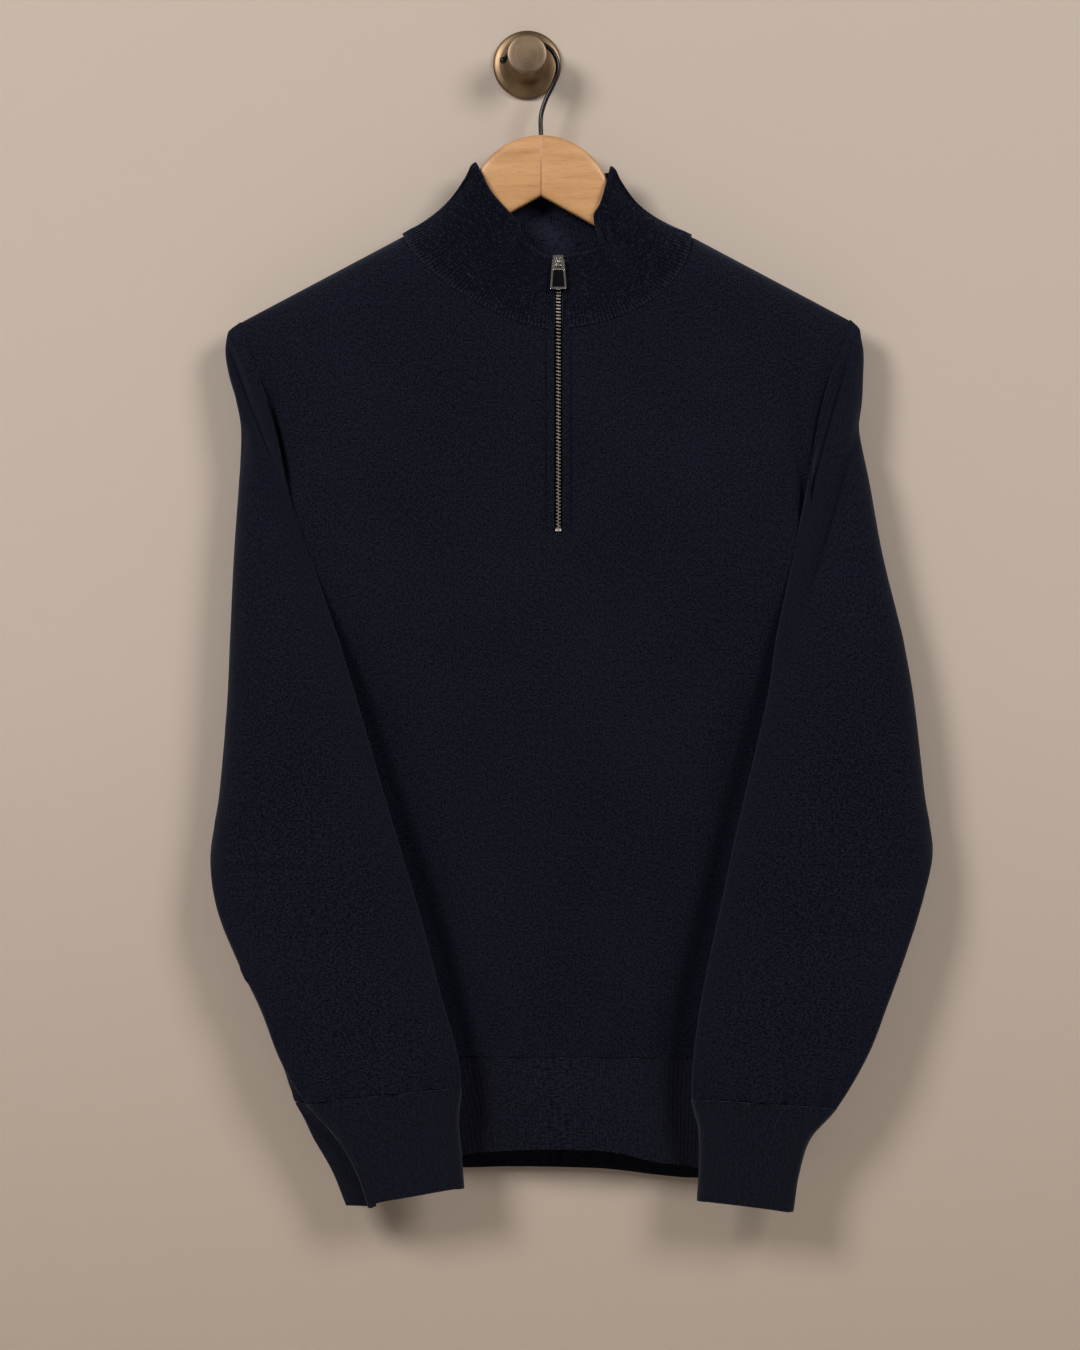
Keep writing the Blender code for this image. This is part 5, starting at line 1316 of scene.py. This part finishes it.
seat = top + lie @ Vector((0, 0, SLIDER_LIFT))
face = SLIDER_WALL / 2
slider_outline = [(-SLIDER_HALF, 0.8), (-SLIDER_HALF + 0.8, 0), (SLIDER_HALF - 0.8, 0), (SLIDER_HALF, 0.8),
                  (SLIDER_HALF - 1.4, SLIDER_LENGTH - 0.8), (SLIDER_HALF - 2.2, SLIDER_LENGTH),
                  (-SLIDER_HALF + 2.2, SLIDER_LENGTH), (-SLIDER_HALF + 1.4, SLIDER_LENGTH - 0.8)]
slider = slab("zip_slider_cast", slider_outline, -face, face, seat, HUNG, pull_metal)
end = BRIDGE_START + BRIDGE_RUN
under_bridge = face + BRIDGE_GAP
arch = [(BRIDGE_START, face - 0.6), (BRIDGE_START, under_bridge + 0.4),
        (BRIDGE_START + 0.8, under_bridge + BRIDGE_LEG), (end - 0.8, under_bridge + BRIDGE_LEG),
        (end, under_bridge + 0.4), (end, face - 0.6), (end - BRIDGE_LEG, face - 0.6),
        (end - BRIDGE_LEG, under_bridge), (BRIDGE_START + BRIDGE_LEG, under_bridge),
        (BRIDGE_START + BRIDGE_LEG, face - 0.6)]
bridge_sides = ([seat + lie @ Vector((u, v, w)) for v, w in arch] for u in (-BRIDGE_HALF, BRIDGE_HALF))
bridge = prism("zip_bridge", *bridge_sides, pull_metal, HUNG)
slider = finished(slider, 0.3, [("UNION", bridge)])
stands_for(slider, "zip_metal", "zip_slider")

hinge = seat + lie @ Vector((0, end - BRIDGE_LEG - 1.3, face + BRIDGE_GAP / 2))


def rounded(corners, radius, steps=5):
    """An outline with its corners rounded."""
    corners = [Vector(c) for c in corners]
    outline = []
    for k, corner in enumerate(corners):
        before = (corners[k - 1] - corner).normalized()
        after = (corners[(k + 1) % len(corners)] - corner).normalized()
        for t in np.linspace(0, 1, steps):
            outline.append(tuple(corner + before * (radius * (1 - t) ** 2) + after * (radius * t * t)))
    return outline


def tapered(start, top_half, length, foot_half):
    """A four-sided outline down the tab, from start."""
    return [(-top_half, start), (top_half, start), (foot_half, start + length), (-foot_half, start + length)]


half_bar = PULL_BAR / 2
half_tab = PULL_WALL / 2
tab_outline = tapered(-half_bar, PULL_TOP_HALF, PULL_LENGTH + half_bar, PULL_FOOT_HALF)
tab = slab("zip_pull_tab", rounded(tab_outline, 1.1), -half_tab, half_tab, hinge, TAB, pull_metal)
window_outline = tapered(half_bar, PULL_WINDOW_HALF, PULL_WINDOW_LENGTH, PULL_WINDOW_HALF)
window = slab("tab_window", rounded(window_outline, 0.7), -PULL_WALL, PULL_WALL, hinge, TAB, pull_metal)
inset_top = half_bar + PULL_WINDOW_LENGTH + 1.6
inset_outline = tapered(inset_top, 3.6, PULL_LENGTH - 1.3 - inset_top, 4.6)
inset_floor = half_tab - PULL_INSET
inset = slab("tab_inset", rounded(inset_outline, 0.9), inset_floor, PULL_WALL, hinge, TAB, pull_metal)
tab = finished(tab, 0.22, [("DIFFERENCE", window), ("DIFFERENCE", inset)])
# The recessed face gets a near-black plated skin: a painted reflection of the dark surroundings it faces.
tab.data.materials.append(plated("darkened_pull_face", (0.05, 0.05, 0.055), 0.10, 0.06))
for polygon in tab.data.polygons:
    depth = (Vector(polygon.center) / MM - hinge).dot(face_out)
    if abs(depth - inset_floor) < 0.06 and polygon.normal.dot(face_out) > 0.9:
        polygon.material_index = 1
stands_for(tab, "zip_metal", "zip_pull")

foot_slope = Vector((0, -(line[0][1] - line[1][1]), line[0][0] - line[1][0])).normalized()
foot = Vector((ZIP_ACROSS, -line[0][1], line[0][0])) - foot_slope * 3.0
stop = slab("zip_bottom_stop", tapered(0.2, 2.4, 2.8, 2.4), -0.9, 1.0, foot, HUNG, teeth_metal)
stands_for(finished(stop, 0.35), "zip_metal", "zip_stop")

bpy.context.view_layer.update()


# ================================================================ cut of the cloth
# What each piece was cut or knitted to, laid flat.

ARMS = ["hanger_arm_left", "hanger_arm_right"]
PANELS = ["front_panel_knit", "back_panel_knit"]
CUTS = table(
    "piece width length area rests_on",
    ("front_panel_knit", 0.450, 0.605, 0.233, ARMS),
    ("back_panel_knit", 0.445, 0.610, 0.247, ARMS),
    ("sleeve_left_knit", 0.320, 0.585, 0.122, PANELS),
    ("sleeve_right_knit", 0.320, 0.585, 0.122, PANELS),
    ("hem_rib_knit", 0.700, 0.072, 0.050, PANELS),
    ("cuff_left_knit", 0.212, 0.074, 0.0156, ["sleeve_left_knit"]),
    ("cuff_right_knit", 0.212, 0.074, 0.0156, ["sleeve_right_knit"]),
    ("collar_rib_knit", 0.430, 0.170, 0.052, PANELS),           # both layers of the doubled rib
    ("zip_tape_left_woven", 0.0125, 0.202, 0.0025, ["front_panel_knit"]),
    ("zip_tape_right_woven", 0.0125, 0.202, 0.0025, ["front_panel_knit"]))
